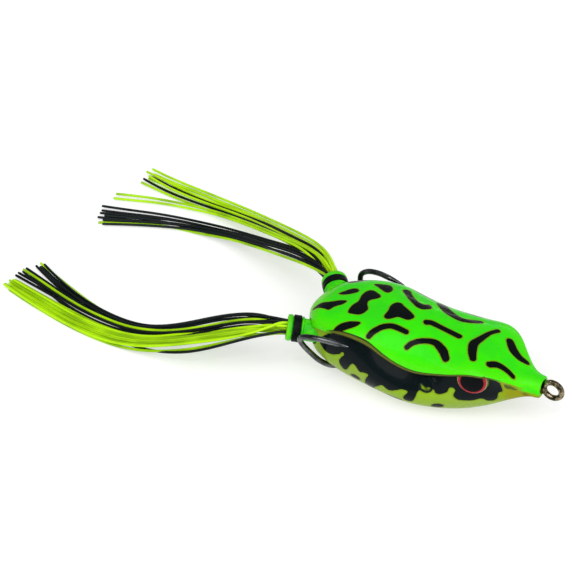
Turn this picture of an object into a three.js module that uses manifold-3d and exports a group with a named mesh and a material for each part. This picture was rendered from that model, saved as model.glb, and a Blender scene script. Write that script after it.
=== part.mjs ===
// Hollow-body topwater frog lure: soft moulded shell, double hook, keel weight and two strand legs.
// Millimetres.  +X runs to the nose, +Y to the lure's left, +Z up; z = 0 is the floor it rests on.
import * as THREE from 'three';
import { mergeVertices } from 'three/addons/utils/BufferGeometryUtils.js';
import Module from 'manifold-3d';

const wasm = await Module();
wasm.setup();

// ---- driving dimensions -------------------------------------------------------------------
const REAR_X = -32.5;
const NOSE_X = 33.3;
const REAR_ROUNDING = 6.5;
const REAR_CENTRE_Z = 13.5;
const WALL = 1.4;
const LIP_DROP = 1.1;

// [x, value] stations of the moulded body; every curve between them is smooth.
const RIDGE_HALF_WIDTH = [
  [-32.5, 7.4], [-29.5, 8.8], [-26, 10.3], [-21, 11.7], [-14, 12.4], [-6, 12.4], [2, 12.2], [10, 12.0],
  [16, 11.6], [20, 10.8], [23, 9.0], [26, 6.4], [29, 4.1], [31.2, 3.0], [33.3, 2.6],
];
const RIDGE_HEIGHT = [
  [-32.5, 13.6], [-28, 14.7], [-24, 15.9], [-20, 16.9], [-16, 17.5], [-12, 17.4],
  [-9, 16.6], [-5.5, 14.9], [-2, 13.6], [1.5, 13.0], [5, 13.3], [12, 15.3], [18, 17.1],
  [22, 16.8], [24, 15.9], [26.5, 14.2], [29, 12.6], [33.3, 11.7],
];
const BACK_HEIGHT = [
  [-32.5, 17.2], [-29, 18.3], [-25, 19.3], [-20, 20.3], [-14, 21.1], [-5, 21.7], [5, 21.0], [12, 20.2],
  [18, 19.6], [23, 17.6], [28, 14.9], [31.2, 14.0], [33.3, 13.9],
];
const BELLY_HEIGHT = [
  [-32.5, 7.0], [-28, 4.9], [-22, 2.7], [-16, 1.4], [-8, 0.8], [6, 0.8], [14, 1.6],
  [21, 4.2], [27, 7.3], [30.4, 8.7], [33.3, 9.1],
];
const BELLY_HALF_WIDTH = [
  [-32.5, 7.4], [-28, 9.6], [-22, 12.0], [-14, 13.4], [-6, 14.0], [2, 13.9], [8, 12.9],
  [14, 11.0], [20, 8.9], [25, 6.0], [29, 3.7], [31.2, 2.9], [33.3, 2.6],
];
const GROOVE_DEPTH = [
  [-32.5, 0.0], [-26, 0.5], [-20, 1.0], [-8, 1.5], [4, 1.2], [12, 1.5], [17, 2.2],
  [20, 2.0], [24, 0.9], [28, 0.2], [33.3, 0.0],
];

const WIRE_RADIUS = 0.75;
const EYE_RING_CENTRE = new THREE.Vector3(35.85, 0, 11.3);
const EYE_RING_RADIUS = 2.35;
const NOSE_HOLE_WIDTH = 3.4;
const NOSE_HOLE_HEIGHT = 3.9;
const NOSE_HOLE_Z = 11.45;
// One side of the double hook, from the line eye to the start of the point.
const HOOK_ROUTE = [
  [33.5, 0.7, 11.3], [30, 0.7, 11.2], [22, 0.7, 9.8], [12, 0.7, 6.9], [2, 0.7, 4.2],
  [-8, 0.75, 2.8], [-16, 1.0, 1.9], [-20.0, 4.2, 1.35], [-22.7, 8.2, 2.4], [-24.5, 11.2, 5.3],
  [-26.0, 13.4, 9.0], [-27.3, 15.0, 12.4], [-27.4, 15.8, 14.8], [-25.4, 16.1, 16.3],
  [-22.2, 16.0, 16.9], [-18.8, 15.5, 16.9],
];
const HOOK_TIP = [-13.7, 14.8, 16.6];
// The hook sits slightly rolled in the body: its right point stands higher than its left one.
const HOOK_ROLL = 1.5;
const HOOK_POINT_LENGTH = 3.4;
const BARB_LENGTH = 1.7;
const GROOVE_CLEARANCE = 0.5;

const SLOT_REAR_X = -19;
const SLOT_FRONT_X = 7;
const SLOT_WIDTH = 6.2;
const WEIGHT_REAR_X = -16.5;
const WEIGHT_FRONT_X = 1.5;
const WEIGHT_WIDTH = 5.0;
const WEIGHT_TOP_Z = 5.6;
const WEIGHT_GAP = 0.06;

const EYE_X = 18.2;
const EYE_Y = 8.7;
const EYE_Z = 14.6;
const EYE_RADIUS = 3.8;
const EYE_YAW = 16;
const EYE_UPTILT = 4;
const EYE_TOP_Z = 17.0;
const EYE_DISC_THICKNESS = 0.8;
const EYE_DOME_HEIGHT = 0.9;
const EYE_GAP = 0.05;
const SOCKET_CLEARANCE = 0.3;

const BAND_CENTRE = [-32.0, 10.1, 12.75];
// The soft sleeves don't lie alike: the right one is bent further back, the left one further out.
const RIGHT_LEG_DIRECTION = [-0.87, -0.45, 0.18];
const LEFT_LEG_DIRECTION = [-0.65, 0.75, 0.10];
const SLEEVE_RADIUS = 2.9;
const SLEEVE_BORE = 2.3;
const SLEEVE_ROOT = -7.0;
const SLEEVE_MOUTH = 2.6;
const BULGE_RADIUS = 3.45;
const MOUTH_BORE = 2.9;
const BAND_HALF_LENGTH = 1.05;
const BAND_RADIUS = 3.55;
const BAND_GAP = 0.3;
const SLEEVE_GAP = 0.4;
const BRIDGE_RADIUS = 1.3;
const BRIDGE_END = -3.4;

const LOCK_RADIUS = 0.7;
const LOCK_SIDES = 8;
const LOCK_STEPS = 22;
const LOCK_START = 1.5;
const LOCK_RING_RADIUS = 1.35;
const FLOOR_CLEARANCE = 0.52;
// Plan route of each lock of strands after the sleeve, [x, y, z above the floor], outermost first.
// The right leg sweeps back in an S; the left one trails outward.
const RIGHT_LOCKS = [
  [[-44.6, -21.2, 11.8], [-58, -27.0, 4.8], [-70, -29.5, 0], [-86, -28.8, 0], [-106, -23.5, 0], [-123.5, -17.5, 0]],
  [[-46, -19.2, 11.0], [-59, -24.4, 3.6], [-72, -26.6, 0], [-88, -25.2, 0], [-108, -19.6, 0], [-125.5, -12.8, 0]],
  [[-47, -17.6, 12.8], [-60.5, -21.9, 6.2], [-73, -23.4, 0], [-89, -21.6, 0], [-109, -15.6, 0], [-126, -8.2, 0]],
  [[-46.5, -15.6, 10.2], [-60.5, -18.8, 3.2], [-73, -20.0, 0], [-89, -18.0, 0], [-107, -11.8, 0], [-123, -4.6, 0]],
  [[-46.5, -13.4, 11.2], [-60.5, -15.4, 4.2], [-73.5, -16.4, 0], [-89, -14.4, 0], [-106, -8.0, 0], [-121, -0.6, 0]],
];
const LEFT_LOCKS = [
  [[-44, 22.5, 12.2], [-56, 30.0, 6.4], [-68, 36.0, 1.6], [-82, 41.0, 0], [-100, 46.0, 0], [-116, 50.5, 0]],
  [[-45, 21.0, 11.4], [-58, 28.0, 5.2], [-70.5, 33.0, 0.8], [-85, 37.0, 0], [-102, 41.5, 0], [-118.5, 45.5, 0]],
  [[-46, 19.5, 12.8], [-59.5, 25.5, 7.0], [-72, 29.8, 1.8], [-86.5, 33.2, 0], [-103, 36.8, 0], [-119, 40.0, 0]],
  [[-46, 17.8, 10.2], [-60, 23.2, 4.0], [-73, 26.6, 0], [-87, 28.0, 0], [-103, 27.8, 0], [-118, 25.4, 0]],
  [[-46, 16.2, 11.4], [-60, 20.8, 5.0], [-73, 23.2, 0.6], [-87, 23.8, 0], [-102.5, 22.2, 0], [-117, 18.6, 0]],
];

const CHARTREUSE = '#9fe010';
const FROG_GREEN = '#45ee1a';
const SOFT_BLACK = '#101418';
const HOOK_METAL = '#34363a';
const LEAD_GREY = '#6c7075';
const EYE_RED = '#7c1422';
const EYE_GLASS = '#15151a';

// ---- helpers ------------------------------------------------------------------------------
function curve(table, x) {
  const last = table.length - 1;
  let i = 0;
  while (i < last - 1 && x > table[i + 1][0]) i += 1;
  const slope = (k) => {
    const a = table[Math.max(k - 1, 0)];
    const b = table[Math.min(k + 1, last)];
    return (b[1] - a[1]) / (b[0] - a[0]);
  };
  const [xa, ya] = table[i];
  const [xb, yb] = table[i + 1];
  const h = xb - xa;
  const s = Math.min(Math.max((x - xa) / h, 0), 1);
  const s2 = s * s;
  const s3 = s2 * s;
  return ya * (2 * s3 - 3 * s2 + 1) + slope(i) * h * (s3 - 2 * s2 + s)
    + yb * (3 * s2 - 2 * s3) + slope(i + 1) * h * (s3 - s2);
}

function solid(geometry) {
  const bare = geometry.clone();
  bare.deleteAttribute('normal');
  bare.deleteAttribute('uv');
  const merged = mergeVertices(bare, 1e-4);
  return new wasm.Manifold(new wasm.Mesh({
    numProp: 3,
    vertProperties: new Float32Array(merged.attributes.position.array),
    triVerts: new Uint32Array(merged.index.array),
  }));
}

function fromSolid(manifold) {
  const mesh = manifold.getMesh();
  const geometry = new THREE.BufferGeometry();
  geometry.setAttribute('position', new THREE.BufferAttribute(new Float32Array(mesh.vertProperties), 3));
  geometry.setIndex(new THREE.BufferAttribute(new Uint32Array(mesh.triVerts), 1));
  const flat = geometry.toNonIndexed();
  flat.computeVertexNormals();
  return flat;
}

function piece(name, geometry, colour, roughness, metalness) {
  const material = new THREE.MeshStandardMaterial({ color: colour, roughness, metalness });
  const mesh = new THREE.Mesh(geometry, material);
  mesh.name = name;
  return mesh;
}

function polygon(radius, sides) {
  const shape = new THREE.Shape();
  for (let k = 0; k < sides; k += 1) {
    const a = (2 * Math.PI * k) / sides;
    const x = radius * Math.cos(a);
    const y = radius * Math.sin(a);
    if (k === 0) shape.moveTo(x, y);
    else shape.lineTo(x, y);
  }
  shape.closePath();
  return shape;
}

function tube(points, radius, sides, steps) {
  const path = new THREE.CatmullRomCurve3(points, false, 'centripetal');
  return new THREE.ExtrudeGeometry(polygon(radius, sides), {
    steps,
    bevelEnabled: false,
    extrudePath: path,
  });
}

function vector(list, side = 1) {
  return new THREE.Vector3(list[0], list[1] * side, list[2]);
}

// Skin through closed sections; the first may be a single point, the last is capped flat.
function loft(pole, sections, endCentre) {
  const n = sections[0].length;
  const positions = [...pole.toArray()];
  sections.forEach((ring) => ring.forEach((p) => positions.push(...p.toArray())));
  positions.push(...endCentre.toArray());
  const at = (row, k) => 1 + row * n + (k % n);
  const index = [];
  for (let k = 0; k < n; k += 1) index.push(0, at(0, k + 1), at(0, k));
  for (let row = 0; row < sections.length - 1; row += 1) {
    for (let k = 0; k < n; k += 1) {
      index.push(at(row, k), at(row, k + 1), at(row + 1, k + 1));
      index.push(at(row, k), at(row + 1, k + 1), at(row + 1, k));
    }
  }
  const last = sections.length - 1;
  const centre = 1 + sections.length * n;
  for (let k = 0; k < n; k += 1) index.push(centre, at(last, k), at(last, k + 1));
  const geometry = new THREE.BufferGeometry();
  geometry.setAttribute('position', new THREE.Float32BufferAttribute(positions, 3));
  geometry.setIndex(index);
  return geometry;
}

// Turned part about the leg's axis: profile of [radius, distance along the axis].
function turned(profile, segments) {
  const points = profile.map(([r, s]) => new THREE.Vector2(r, s));
  return new THREE.LatheGeometry(points, segments);
}

function legAxis(side) {
  return vector(side < 0 ? RIGHT_LEG_DIRECTION : LEFT_LEG_DIRECTION).normalize();
}

function ontoLeg(geometry, side) {
  const axis = legAxis(side);
  const turn = new THREE.Quaternion().setFromUnitVectors(new THREE.Vector3(0, 1, 0), axis);
  geometry.applyQuaternion(turn);
  geometry.translate(BAND_CENTRE[0], BAND_CENTRE[1] * side, BAND_CENTRE[2]);
  return geometry;
}

function legPoint(side, along) {
  return vector(BAND_CENTRE, side).addScaledVector(legAxis(side), along);
}

// ---- moulded body -------------------------------------------------------------------------
function rearRounding(x, rear, radius) {
  const d = (rear + radius - x) / radius;
  return d > 0 ? Math.sqrt(Math.max(1 - d * d, 0)) : 1;
}

// Half of the outer section from the back's centre line down to the belly's, as [y, z].
function outerHalf(x, backSteps, lipSteps, flankSteps) {
  const half = curve(RIDGE_HALF_WIDTH, x);
  const ridge = curve(RIDGE_HEIGHT, x);
  const back = curve(BACK_HEIGHT, x);
  const belly = curve(BELLY_HEIGHT, x);
  const bulge = curve(BELLY_HALF_WIDTH, x);
  const groove = curve(GROOVE_DEPTH, x);
  const points = [];
  for (let k = 0; k <= backSteps; k += 1) {
    const a = (Math.PI / 2) * (k / backSteps);
    const rise = Math.max(Math.cos(a), 0) ** 0.95;
    points.push([half * Math.sin(a) ** 0.85, ridge + (back - ridge) * rise]);
  }
  for (let k = 1; k <= lipSteps; k += 1) {
    const c = (1 - Math.cos((Math.PI * k) / lipSteps)) / 2;
    points.push([half - groove * c, ridge - LIP_DROP * c]);
  }
  const [y0, z0] = points[points.length - 1];
  const middle = belly + (z0 - belly) * 0.52;
  for (let k = 1; k <= flankSteps; k += 1) {
    const s = k / flankSteps;
    if (s < 0.35) {
      const u = s / 0.35;
      points.push([y0 + (bulge - y0) * Math.sin((u * Math.PI) / 2), z0 + (middle - z0) * u]);
    } else {
      const a = (Math.PI / 2) * ((s - 0.35) / 0.65);
      const y = bulge * Math.max(Math.cos(a), 0) ** 0.5;
      points.push([y, middle - (middle - belly) * Math.sin(a)]);
    }
  }
  return points;
}

// Half of the hollow's section: the outer curves moved in by the wall.
function innerHalf(x, steps) {
  const groove = curve(GROOVE_DEPTH, x);
  const bulge = curve(BELLY_HALF_WIDTH, x);
  const half = Math.min(curve(RIDGE_HALF_WIDTH, x) - groove, bulge) - WALL;
  const top = curve(BACK_HEIGHT, x) - WALL;
  const bottom = curve(BELLY_HEIGHT, x) + WALL;
  const middle = Math.min(curve(RIDGE_HEIGHT, x), (top + bottom) / 2 + 1);
  const points = [];
  for (let k = 0; k <= steps; k += 1) {
    const a = Math.PI * (k / steps);
    const c = Math.cos(a);
    const y = half * Math.sin(a) ** 0.85;
    points.push([y, c > 0 ? middle + (top - middle) * c : middle + (middle - bottom) * c]);
  }
  return points;
}

function closedSection(x, halfSection, scale) {
  const place = ([y, z], sign) => new THREE.Vector3(x, sign * y * scale, REAR_CENTRE_Z + (z - REAR_CENTRE_Z) * scale);
  const right = halfSection.map((p) => place(p, -1));
  const left = halfSection.slice(1, -1).reverse().map((p) => place(p, 1));
  return [...right, ...left];
}

function stations(rear, radius, front, rearSteps, bodySteps) {
  const xs = [];
  for (let k = 1; k <= rearSteps; k += 1) {
    xs.push(rear + radius * (1 - Math.cos((Math.PI / 2) * (k / rearSteps))));
  }
  const start = rear + radius;
  for (let k = 1; k <= bodySteps; k += 1) xs.push(start + ((front - start) * k) / bodySteps);
  return xs;
}

function bodyOutside() {
  const xs = stations(REAR_X, REAR_ROUNDING, NOSE_X, 6, 25);
  const sections = xs.map((x) => closedSection(x, outerHalf(x, 10, 2, 11), rearRounding(x, REAR_X, REAR_ROUNDING)));
  const pole = new THREE.Vector3(REAR_X, 0, REAR_CENTRE_Z);
  const end = new THREE.Vector3(NOSE_X, 0, EYE_RING_CENTRE.z);
  return loft(pole, sections, end);
}

function bodyHollow() {
  const rear = REAR_X + WALL;
  const radius = REAR_ROUNDING - WALL;
  const front = NOSE_X - 4;
  const xs = stations(rear, radius, front, 4, 12);
  const sections = xs.map((x) => closedSection(x, innerHalf(x, 12), rearRounding(x, rear, radius)));
  const pole = new THREE.Vector3(rear, 0, REAR_CENTRE_Z);
  const end = new THREE.Vector3(front, 0, curve(RIDGE_HEIGHT, front));
  return loft(pole, sections, end);
}

function stadium(length, width) {
  const shape = new THREE.Shape();
  const r = Math.min(length, width) / 2;
  const l = length / 2 - r;
  const w = width / 2 - r;
  shape.absarc(l, w, r, 0, Math.PI / 2, false);
  shape.absarc(-l, w, r, Math.PI / 2, Math.PI, false);
  shape.absarc(-l, -w, r, Math.PI, 1.5 * Math.PI, false);
  shape.absarc(l, -w, r, 1.5 * Math.PI, 2 * Math.PI, false);
  shape.closePath();
  return shape;
}

function noseHole() {
  const length = 8;
  const geometry = new THREE.ExtrudeGeometry(stadium(NOSE_HOLE_HEIGHT, NOSE_HOLE_WIDTH), {
    depth: length,
    bevelEnabled: false,
    curveSegments: 5,
  });
  geometry.rotateY(Math.PI / 2);
  geometry.translate(NOSE_X - length + 1, 0, NOSE_HOLE_Z);
  return geometry;
}

function bellySlot() {
  const length = SLOT_FRONT_X - SLOT_REAR_X;
  const geometry = new THREE.ExtrudeGeometry(stadium(length, SLOT_WIDTH), {
    depth: 6,
    bevelEnabled: false,
    curveSegments: 8,
  });
  geometry.translate((SLOT_FRONT_X + SLOT_REAR_X) / 2, 0, -1.5);
  return geometry;
}

function hookPoint(list, side) {
  const lift = -side * list[1] * Math.sin(THREE.MathUtils.degToRad(HOOK_ROLL));
  return new THREE.Vector3(list[0], list[1] * side, list[2] + lift);
}

function hookRoute(side) {
  return HOOK_ROUTE.map((p) => hookPoint(p, side));
}

// Room around the wire, which lets the bends leave the rear of the slot and wrap the flanks.
function wireRoom(side) {
  return tube(hookRoute(side), WIRE_RADIUS + GROOVE_CLEARANCE, 10, 54);
}

function legHole(side) {
  const radius = SLEEVE_RADIUS + SLEEVE_GAP;
  const profile = [[0, SLEEVE_ROOT - 4], [radius, SLEEVE_ROOT - 4], [radius, 2], [0, 2]];
  return ontoLeg(turned(profile, 24), side);
}

// Everything near the eyes that lies below a height.
function below(z) {
  const box = new THREE.BoxGeometry(20, 40, 20);
  box.translate(EYE_X, 0, z - 10);
  return solid(box);
}

function ontoEye(geometry, side) {
  geometry.rotateX(side > 0 ? 0 : Math.PI);
  const tilt = new THREE.Euler(
    THREE.MathUtils.degToRad(EYE_UPTILT * side), 0, THREE.MathUtils.degToRad(-EYE_YAW * side), 'ZXY');
  geometry.applyMatrix4(new THREE.Matrix4().makeRotationFromEuler(tilt));
  geometry.translate(EYE_X, EYE_Y * side, EYE_Z);
  return geometry;
}

// Pocket under the brow for the eye, open to the outside only below the brow's lip.
function eyeSocket(side) {
  const radius = EYE_RADIUS + SOCKET_CLEARANCE;
  const depth = EYE_DISC_THICKNESS + EYE_DOME_HEIGHT + 0.45;
  const pocket = ontoEye(turned([[0, -0.3], [radius, -0.3], [radius, depth], [0, depth]], 28), side);
  const mouth = ontoEye(turned([[0, -0.3], [radius, -0.3], [radius, 7], [0, 7]], 28), side);
  const lipZ = curve(RIDGE_HEIGHT, EYE_X) - LIP_DROP;
  return solid(mouth).intersect(below(lipZ)).add(solid(pocket).intersect(below(EYE_TOP_Z + SOCKET_CLEARANCE)));
}

function bodyShell() {
  let shell = solid(bodyOutside());
  [-1, 1].forEach((side) => {
    shell = shell.subtract(eyeSocket(side));
  });
  shell = shell.subtract(solid(bodyHollow()));
  [-1, 1].forEach((side) => {
    shell = shell.add(solid(eyeSeat(side)).intersect(below(EYE_TOP_Z + 0.8)));
    shell = shell.subtract(solid(legHole(side)));
    shell = shell.subtract(solid(wireRoom(side)));
  });
  shell = shell.subtract(solid(noseHole()));
  shell = shell.subtract(solid(bellySlot()));
  return piece('body_shell', fromSolid(shell), FROG_GREEN, 0.35, 0);
}

// Cup moulded behind each eye, so that the eye has a floor to sit on.
function eyeSeat(side) {
  const radius = EYE_RADIUS + SOCKET_CLEARANCE + 0.9;
  const profile = [[0, -1.6], [radius, -1.6], [radius, -0.3], [0, -0.3]];
  return ontoEye(turned(profile, 28), side);
}

// ---- eyes ---------------------------------------------------------------------------------
function eyeDisc(side, name) {
  const profile = [[0, 0], [EYE_RADIUS, 0], [EYE_RADIUS, EYE_DISC_THICKNESS], [0, EYE_DISC_THICKNESS]];
  const disc = solid(ontoEye(turned(profile, 28), side)).intersect(below(EYE_TOP_Z));
  return piece(name, fromSolid(disc), EYE_RED, 0.3, 0.2);
}

function eyeLens(side, name) {
  const base = EYE_DISC_THICKNESS + EYE_GAP;
  const profile = [[0, base]];
  const steps = 6;
  for (let k = 0; k <= steps; k += 1) {
    const a = (Math.PI / 2) * (k / steps);
    const r = k === steps ? 0 : (EYE_RADIUS - 0.1) * Math.cos(a);
    profile.push([r, base + 0.15 + EYE_DOME_HEIGHT * Math.sin(a)]);
  }
  const lens = solid(ontoEye(turned(profile, 28), side)).intersect(below(EYE_TOP_Z));
  return piece(name, fromSolid(lens), EYE_GLASS, 0.05, 0);
}

// ---- double hook and keel weight ----------------------------------------------------------
function pointCone(side) {
  const tip = hookPoint(HOOK_TIP, side);
  const base = hookRoute(side)[HOOK_ROUTE.length - 1];
  const along = tip.clone().sub(base);
  const length = along.length() + 0.05;
  const geometry = new THREE.CylinderGeometry(0.06, WIRE_RADIUS * 0.985, length, 8);
  geometry.translate(0, length / 2 - 0.05, 0);
  geometry.applyQuaternion(new THREE.Quaternion().setFromUnitVectors(new THREE.Vector3(0, 1, 0), along.normalize()));
  geometry.translate(base.x, base.y, base.z);
  return geometry;
}

function barb(side) {
  const tip = hookPoint(HOOK_TIP, side);
  const base = hookRoute(side)[HOOK_ROUTE.length - 1];
  const back = base.clone().sub(tip).normalize();
  const lift = new THREE.Vector3(0, side * 0.25, -0.97).normalize();
  const direction = back.clone().multiplyScalar(0.9).addScaledVector(lift, 0.42).normalize();
  const geometry = new THREE.ConeGeometry(0.34, BARB_LENGTH, 6);
  geometry.translate(0, BARB_LENGTH / 2, 0);
  geometry.applyQuaternion(new THREE.Quaternion().setFromUnitVectors(new THREE.Vector3(0, 1, 0), direction));
  const root = tip.clone().addScaledVector(back, HOOK_POINT_LENGTH * 0.8);
  geometry.translate(root.x, root.y, root.z);
  return geometry;
}

function doubleHook() {
  const ring = new THREE.TorusGeometry(EYE_RING_RADIUS, WIRE_RADIUS, 8, 24);
  ring.rotateX(Math.PI / 2);
  ring.translate(EYE_RING_CENTRE.x, 0, EYE_RING_CENTRE.z);
  let hook = solid(ring);
  [-1, 1].forEach((side) => {
    hook = hook.add(solid(tube(hookRoute(side), WIRE_RADIUS, 8, 54)));
    hook = hook.add(solid(pointCone(side)));
    hook = hook.add(solid(barb(side)));
  });
  return piece('double_hook', fromSolid(hook), HOOK_METAL, 0.25, 0.95);
}

function keelWeight() {
  const length = WEIGHT_FRONT_X - WEIGHT_REAR_X;
  const shape = stadium(length, WEIGHT_WIDTH);
  const bevel = 0.6;
  const geometry = new THREE.ExtrudeGeometry(stadium(length - 2 * bevel, WEIGHT_WIDTH - 2 * bevel), {
    depth: WEIGHT_TOP_Z - bevel,
    bevelEnabled: true,
    bevelThickness: bevel,
    bevelSize: bevel,
    bevelSegments: 2,
    curveSegments: 8,
  });
  geometry.translate((WEIGHT_FRONT_X + WEIGHT_REAR_X) / 2, 0, 0);
  const flat = new THREE.ExtrudeGeometry(shape, { depth: WEIGHT_TOP_Z, bevelEnabled: false, curveSegments: 8 });
  flat.translate((WEIGHT_FRONT_X + WEIGHT_REAR_X) / 2, 0, 0);
  let weight = solid(geometry).intersect(solid(flat));
  [-1, 1].forEach((side) => {
    weight = weight.subtract(solid(tube(hookRoute(side), WIRE_RADIUS + WEIGHT_GAP, 8, 54)));
  });
  return piece('keel_weight', fromSolid(weight), LEAD_GREY, 0.55, 0.8);
}

// ---- legs ---------------------------------------------------------------------------------
function legSleeve(side, name) {
  const lip = BAND_HALF_LENGTH + 0.15;
  const profile = [
    [SLEEVE_BORE, SLEEVE_ROOT], [SLEEVE_RADIUS, SLEEVE_ROOT], [SLEEVE_RADIUS, lip],
    [BULGE_RADIUS - 0.15, lip + 0.08], [BULGE_RADIUS, lip + 0.4], [BULGE_RADIUS - 0.02, SLEEVE_MOUTH - 0.6],
    [BULGE_RADIUS - 0.2, SLEEVE_MOUTH - 0.15], [MOUTH_BORE, SLEEVE_MOUTH], [SLEEVE_BORE + 0.1, SLEEVE_MOUTH - 1.6],
    [SLEEVE_BORE, SLEEVE_ROOT],
  ];
  return piece(name, ontoLeg(turned(profile, 24), side), FROG_GREEN, 0.4, 0);
}

function legBand(side, name) {
  const inner = SLEEVE_RADIUS + BAND_GAP;
  const h = BAND_HALF_LENGTH;
  const profile = [
    [inner, -h], [BAND_RADIUS - 0.25, -h], [BAND_RADIUS, -h + 0.3], [BAND_RADIUS, h - 0.3],
    [BAND_RADIUS - 0.25, h], [inner, h], [inner, -h],
  ];
  return piece(name, ontoLeg(turned(profile, 24), side), SOFT_BLACK, 0.5, 0);
}

// The strands' run through the tail, from one sleeve to the other.
function strandBridge() {
  const points = [
    legPoint(-1, BRIDGE_END), legPoint(-1, BRIDGE_END - 3), new THREE.Vector3(-23.5, -3.4, 13.2),
    new THREE.Vector3(-22.6, 0, 13.2), new THREE.Vector3(-23.5, 3.4, 13.2),
    legPoint(1, BRIDGE_END - 3), legPoint(1, BRIDGE_END),
  ];
  return piece('strand_bridge', tube(points, BRIDGE_RADIUS, 10, 16), CHARTREUSE, 0.45, 0);
}

function strandLock(side, number, route) {
  const axis = legAxis(side);
  const across = new THREE.Vector3().crossVectors(new THREE.Vector3(0, 0, 1), axis).normalize();
  const upward = new THREE.Vector3().crossVectors(axis, across);
  const spokes = side < 0 ? [162, 234, 90, 306, 18] : [18, 306, 90, 234, 162];
  const angle = THREE.MathUtils.degToRad(spokes[number - 1]);
  const offset = across.clone().multiplyScalar(-Math.cos(angle) * LOCK_RING_RADIUS)
    .addScaledVector(upward, Math.sin(angle) * LOCK_RING_RADIUS);
  const points = [0, 3.2].map((s) => legPoint(side, LOCK_START + s).add(offset));
  const lowest = LOCK_RADIUS + FLOOR_CLEARANCE;
  route.forEach(([x, y, z]) => points.push(new THREE.Vector3(x, y, z + lowest)));
  const black = number >= 4;
  const name = `${side < 0 ? 'right' : 'left'}_strand_lock_${number}`;
  return piece(name, tube(points, LOCK_RADIUS, LOCK_SIDES, LOCK_STEPS), black ? SOFT_BLACK : CHARTREUSE, 0.45, 0);
}

// ---- assembly -----------------------------------------------------------------------------
const frog = new THREE.Group();
frog.name = 'hollow_body_frog_lure';
frog.add(bodyShell());
frog.add(doubleHook());
frog.add(keelWeight());
frog.add(strandBridge());
[[-1, 'right', RIGHT_LOCKS], [1, 'left', LEFT_LOCKS]].forEach(([side, word, locks]) => {
  frog.add(eyeDisc(side, `${word}_eye_disc`));
  frog.add(eyeLens(side, `${word}_eye_lens`));
  frog.add(legSleeve(side, `${word}_leg_sleeve`));
  frog.add(legBand(side, `${word}_leg_band`));
  locks.forEach((route, k) => frog.add(strandLock(side, k + 1, route)));
});

export default frog;
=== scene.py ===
"""Hollow-body frog lure: soft moulded body, double hook, keel weight and two legs of strands.

The row frame is in metres. Shapes are worked out in millimetres and scaled as meshes are made:
+X runs to the nose, +Y to the lure's left, and z = 0 is the floor that it rests on.
"""
import math
import bmesh
import bpy
import numpy as np
from mathutils import Matrix, Vector


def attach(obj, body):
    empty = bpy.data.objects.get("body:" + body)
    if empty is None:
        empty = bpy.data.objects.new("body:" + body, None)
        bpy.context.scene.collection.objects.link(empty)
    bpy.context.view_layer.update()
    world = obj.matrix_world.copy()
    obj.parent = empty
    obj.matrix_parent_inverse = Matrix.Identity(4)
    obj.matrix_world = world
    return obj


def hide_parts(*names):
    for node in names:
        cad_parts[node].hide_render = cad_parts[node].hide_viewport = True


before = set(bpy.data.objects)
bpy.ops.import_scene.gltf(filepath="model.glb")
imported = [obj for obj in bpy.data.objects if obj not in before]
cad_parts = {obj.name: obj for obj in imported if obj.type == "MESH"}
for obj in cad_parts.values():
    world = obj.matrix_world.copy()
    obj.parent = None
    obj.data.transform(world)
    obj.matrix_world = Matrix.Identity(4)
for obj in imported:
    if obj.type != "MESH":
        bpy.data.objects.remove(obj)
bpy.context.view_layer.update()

MM = 0.001
SEED = 7

# ---- camera, light and floor --------------------------------------------------------------
CAMERA_AZIMUTH = 33.3
CAMERA_ELEVATION = 37.5
CAMERA_ROLL = -3.5
CAMERA_DISTANCE = 0.544
CAMERA_TARGET = (-0.0457, 0.0070, 0.0100)
CAMERA_LENS = 128.0
SENSOR = 36.0
WORLD_STRENGTH = 0.30
TENT_FROM = (0.30, -0.50, 0.80)
TENT_WIDTH = 80
TENT_STRENGTH = 2.6
# [name, place, size, watts] of the lamps that draw streaks on wire and lip.
SMALL_LIGHTS = (
    ("accent", (0.20, -0.30, 0.52), (0.02, 0.02), 0.20),
    ("rim", (-0.05, 0.50, 0.20), (0.40, 0.03), 0.20),
    ("strip", (0.42, 0.02, 0.22), (0.04, 0.26), 0.12),
    ("spark", (-0.26, -0.35, 0.38), (0.03, 0.03), 0.14),
)


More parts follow.
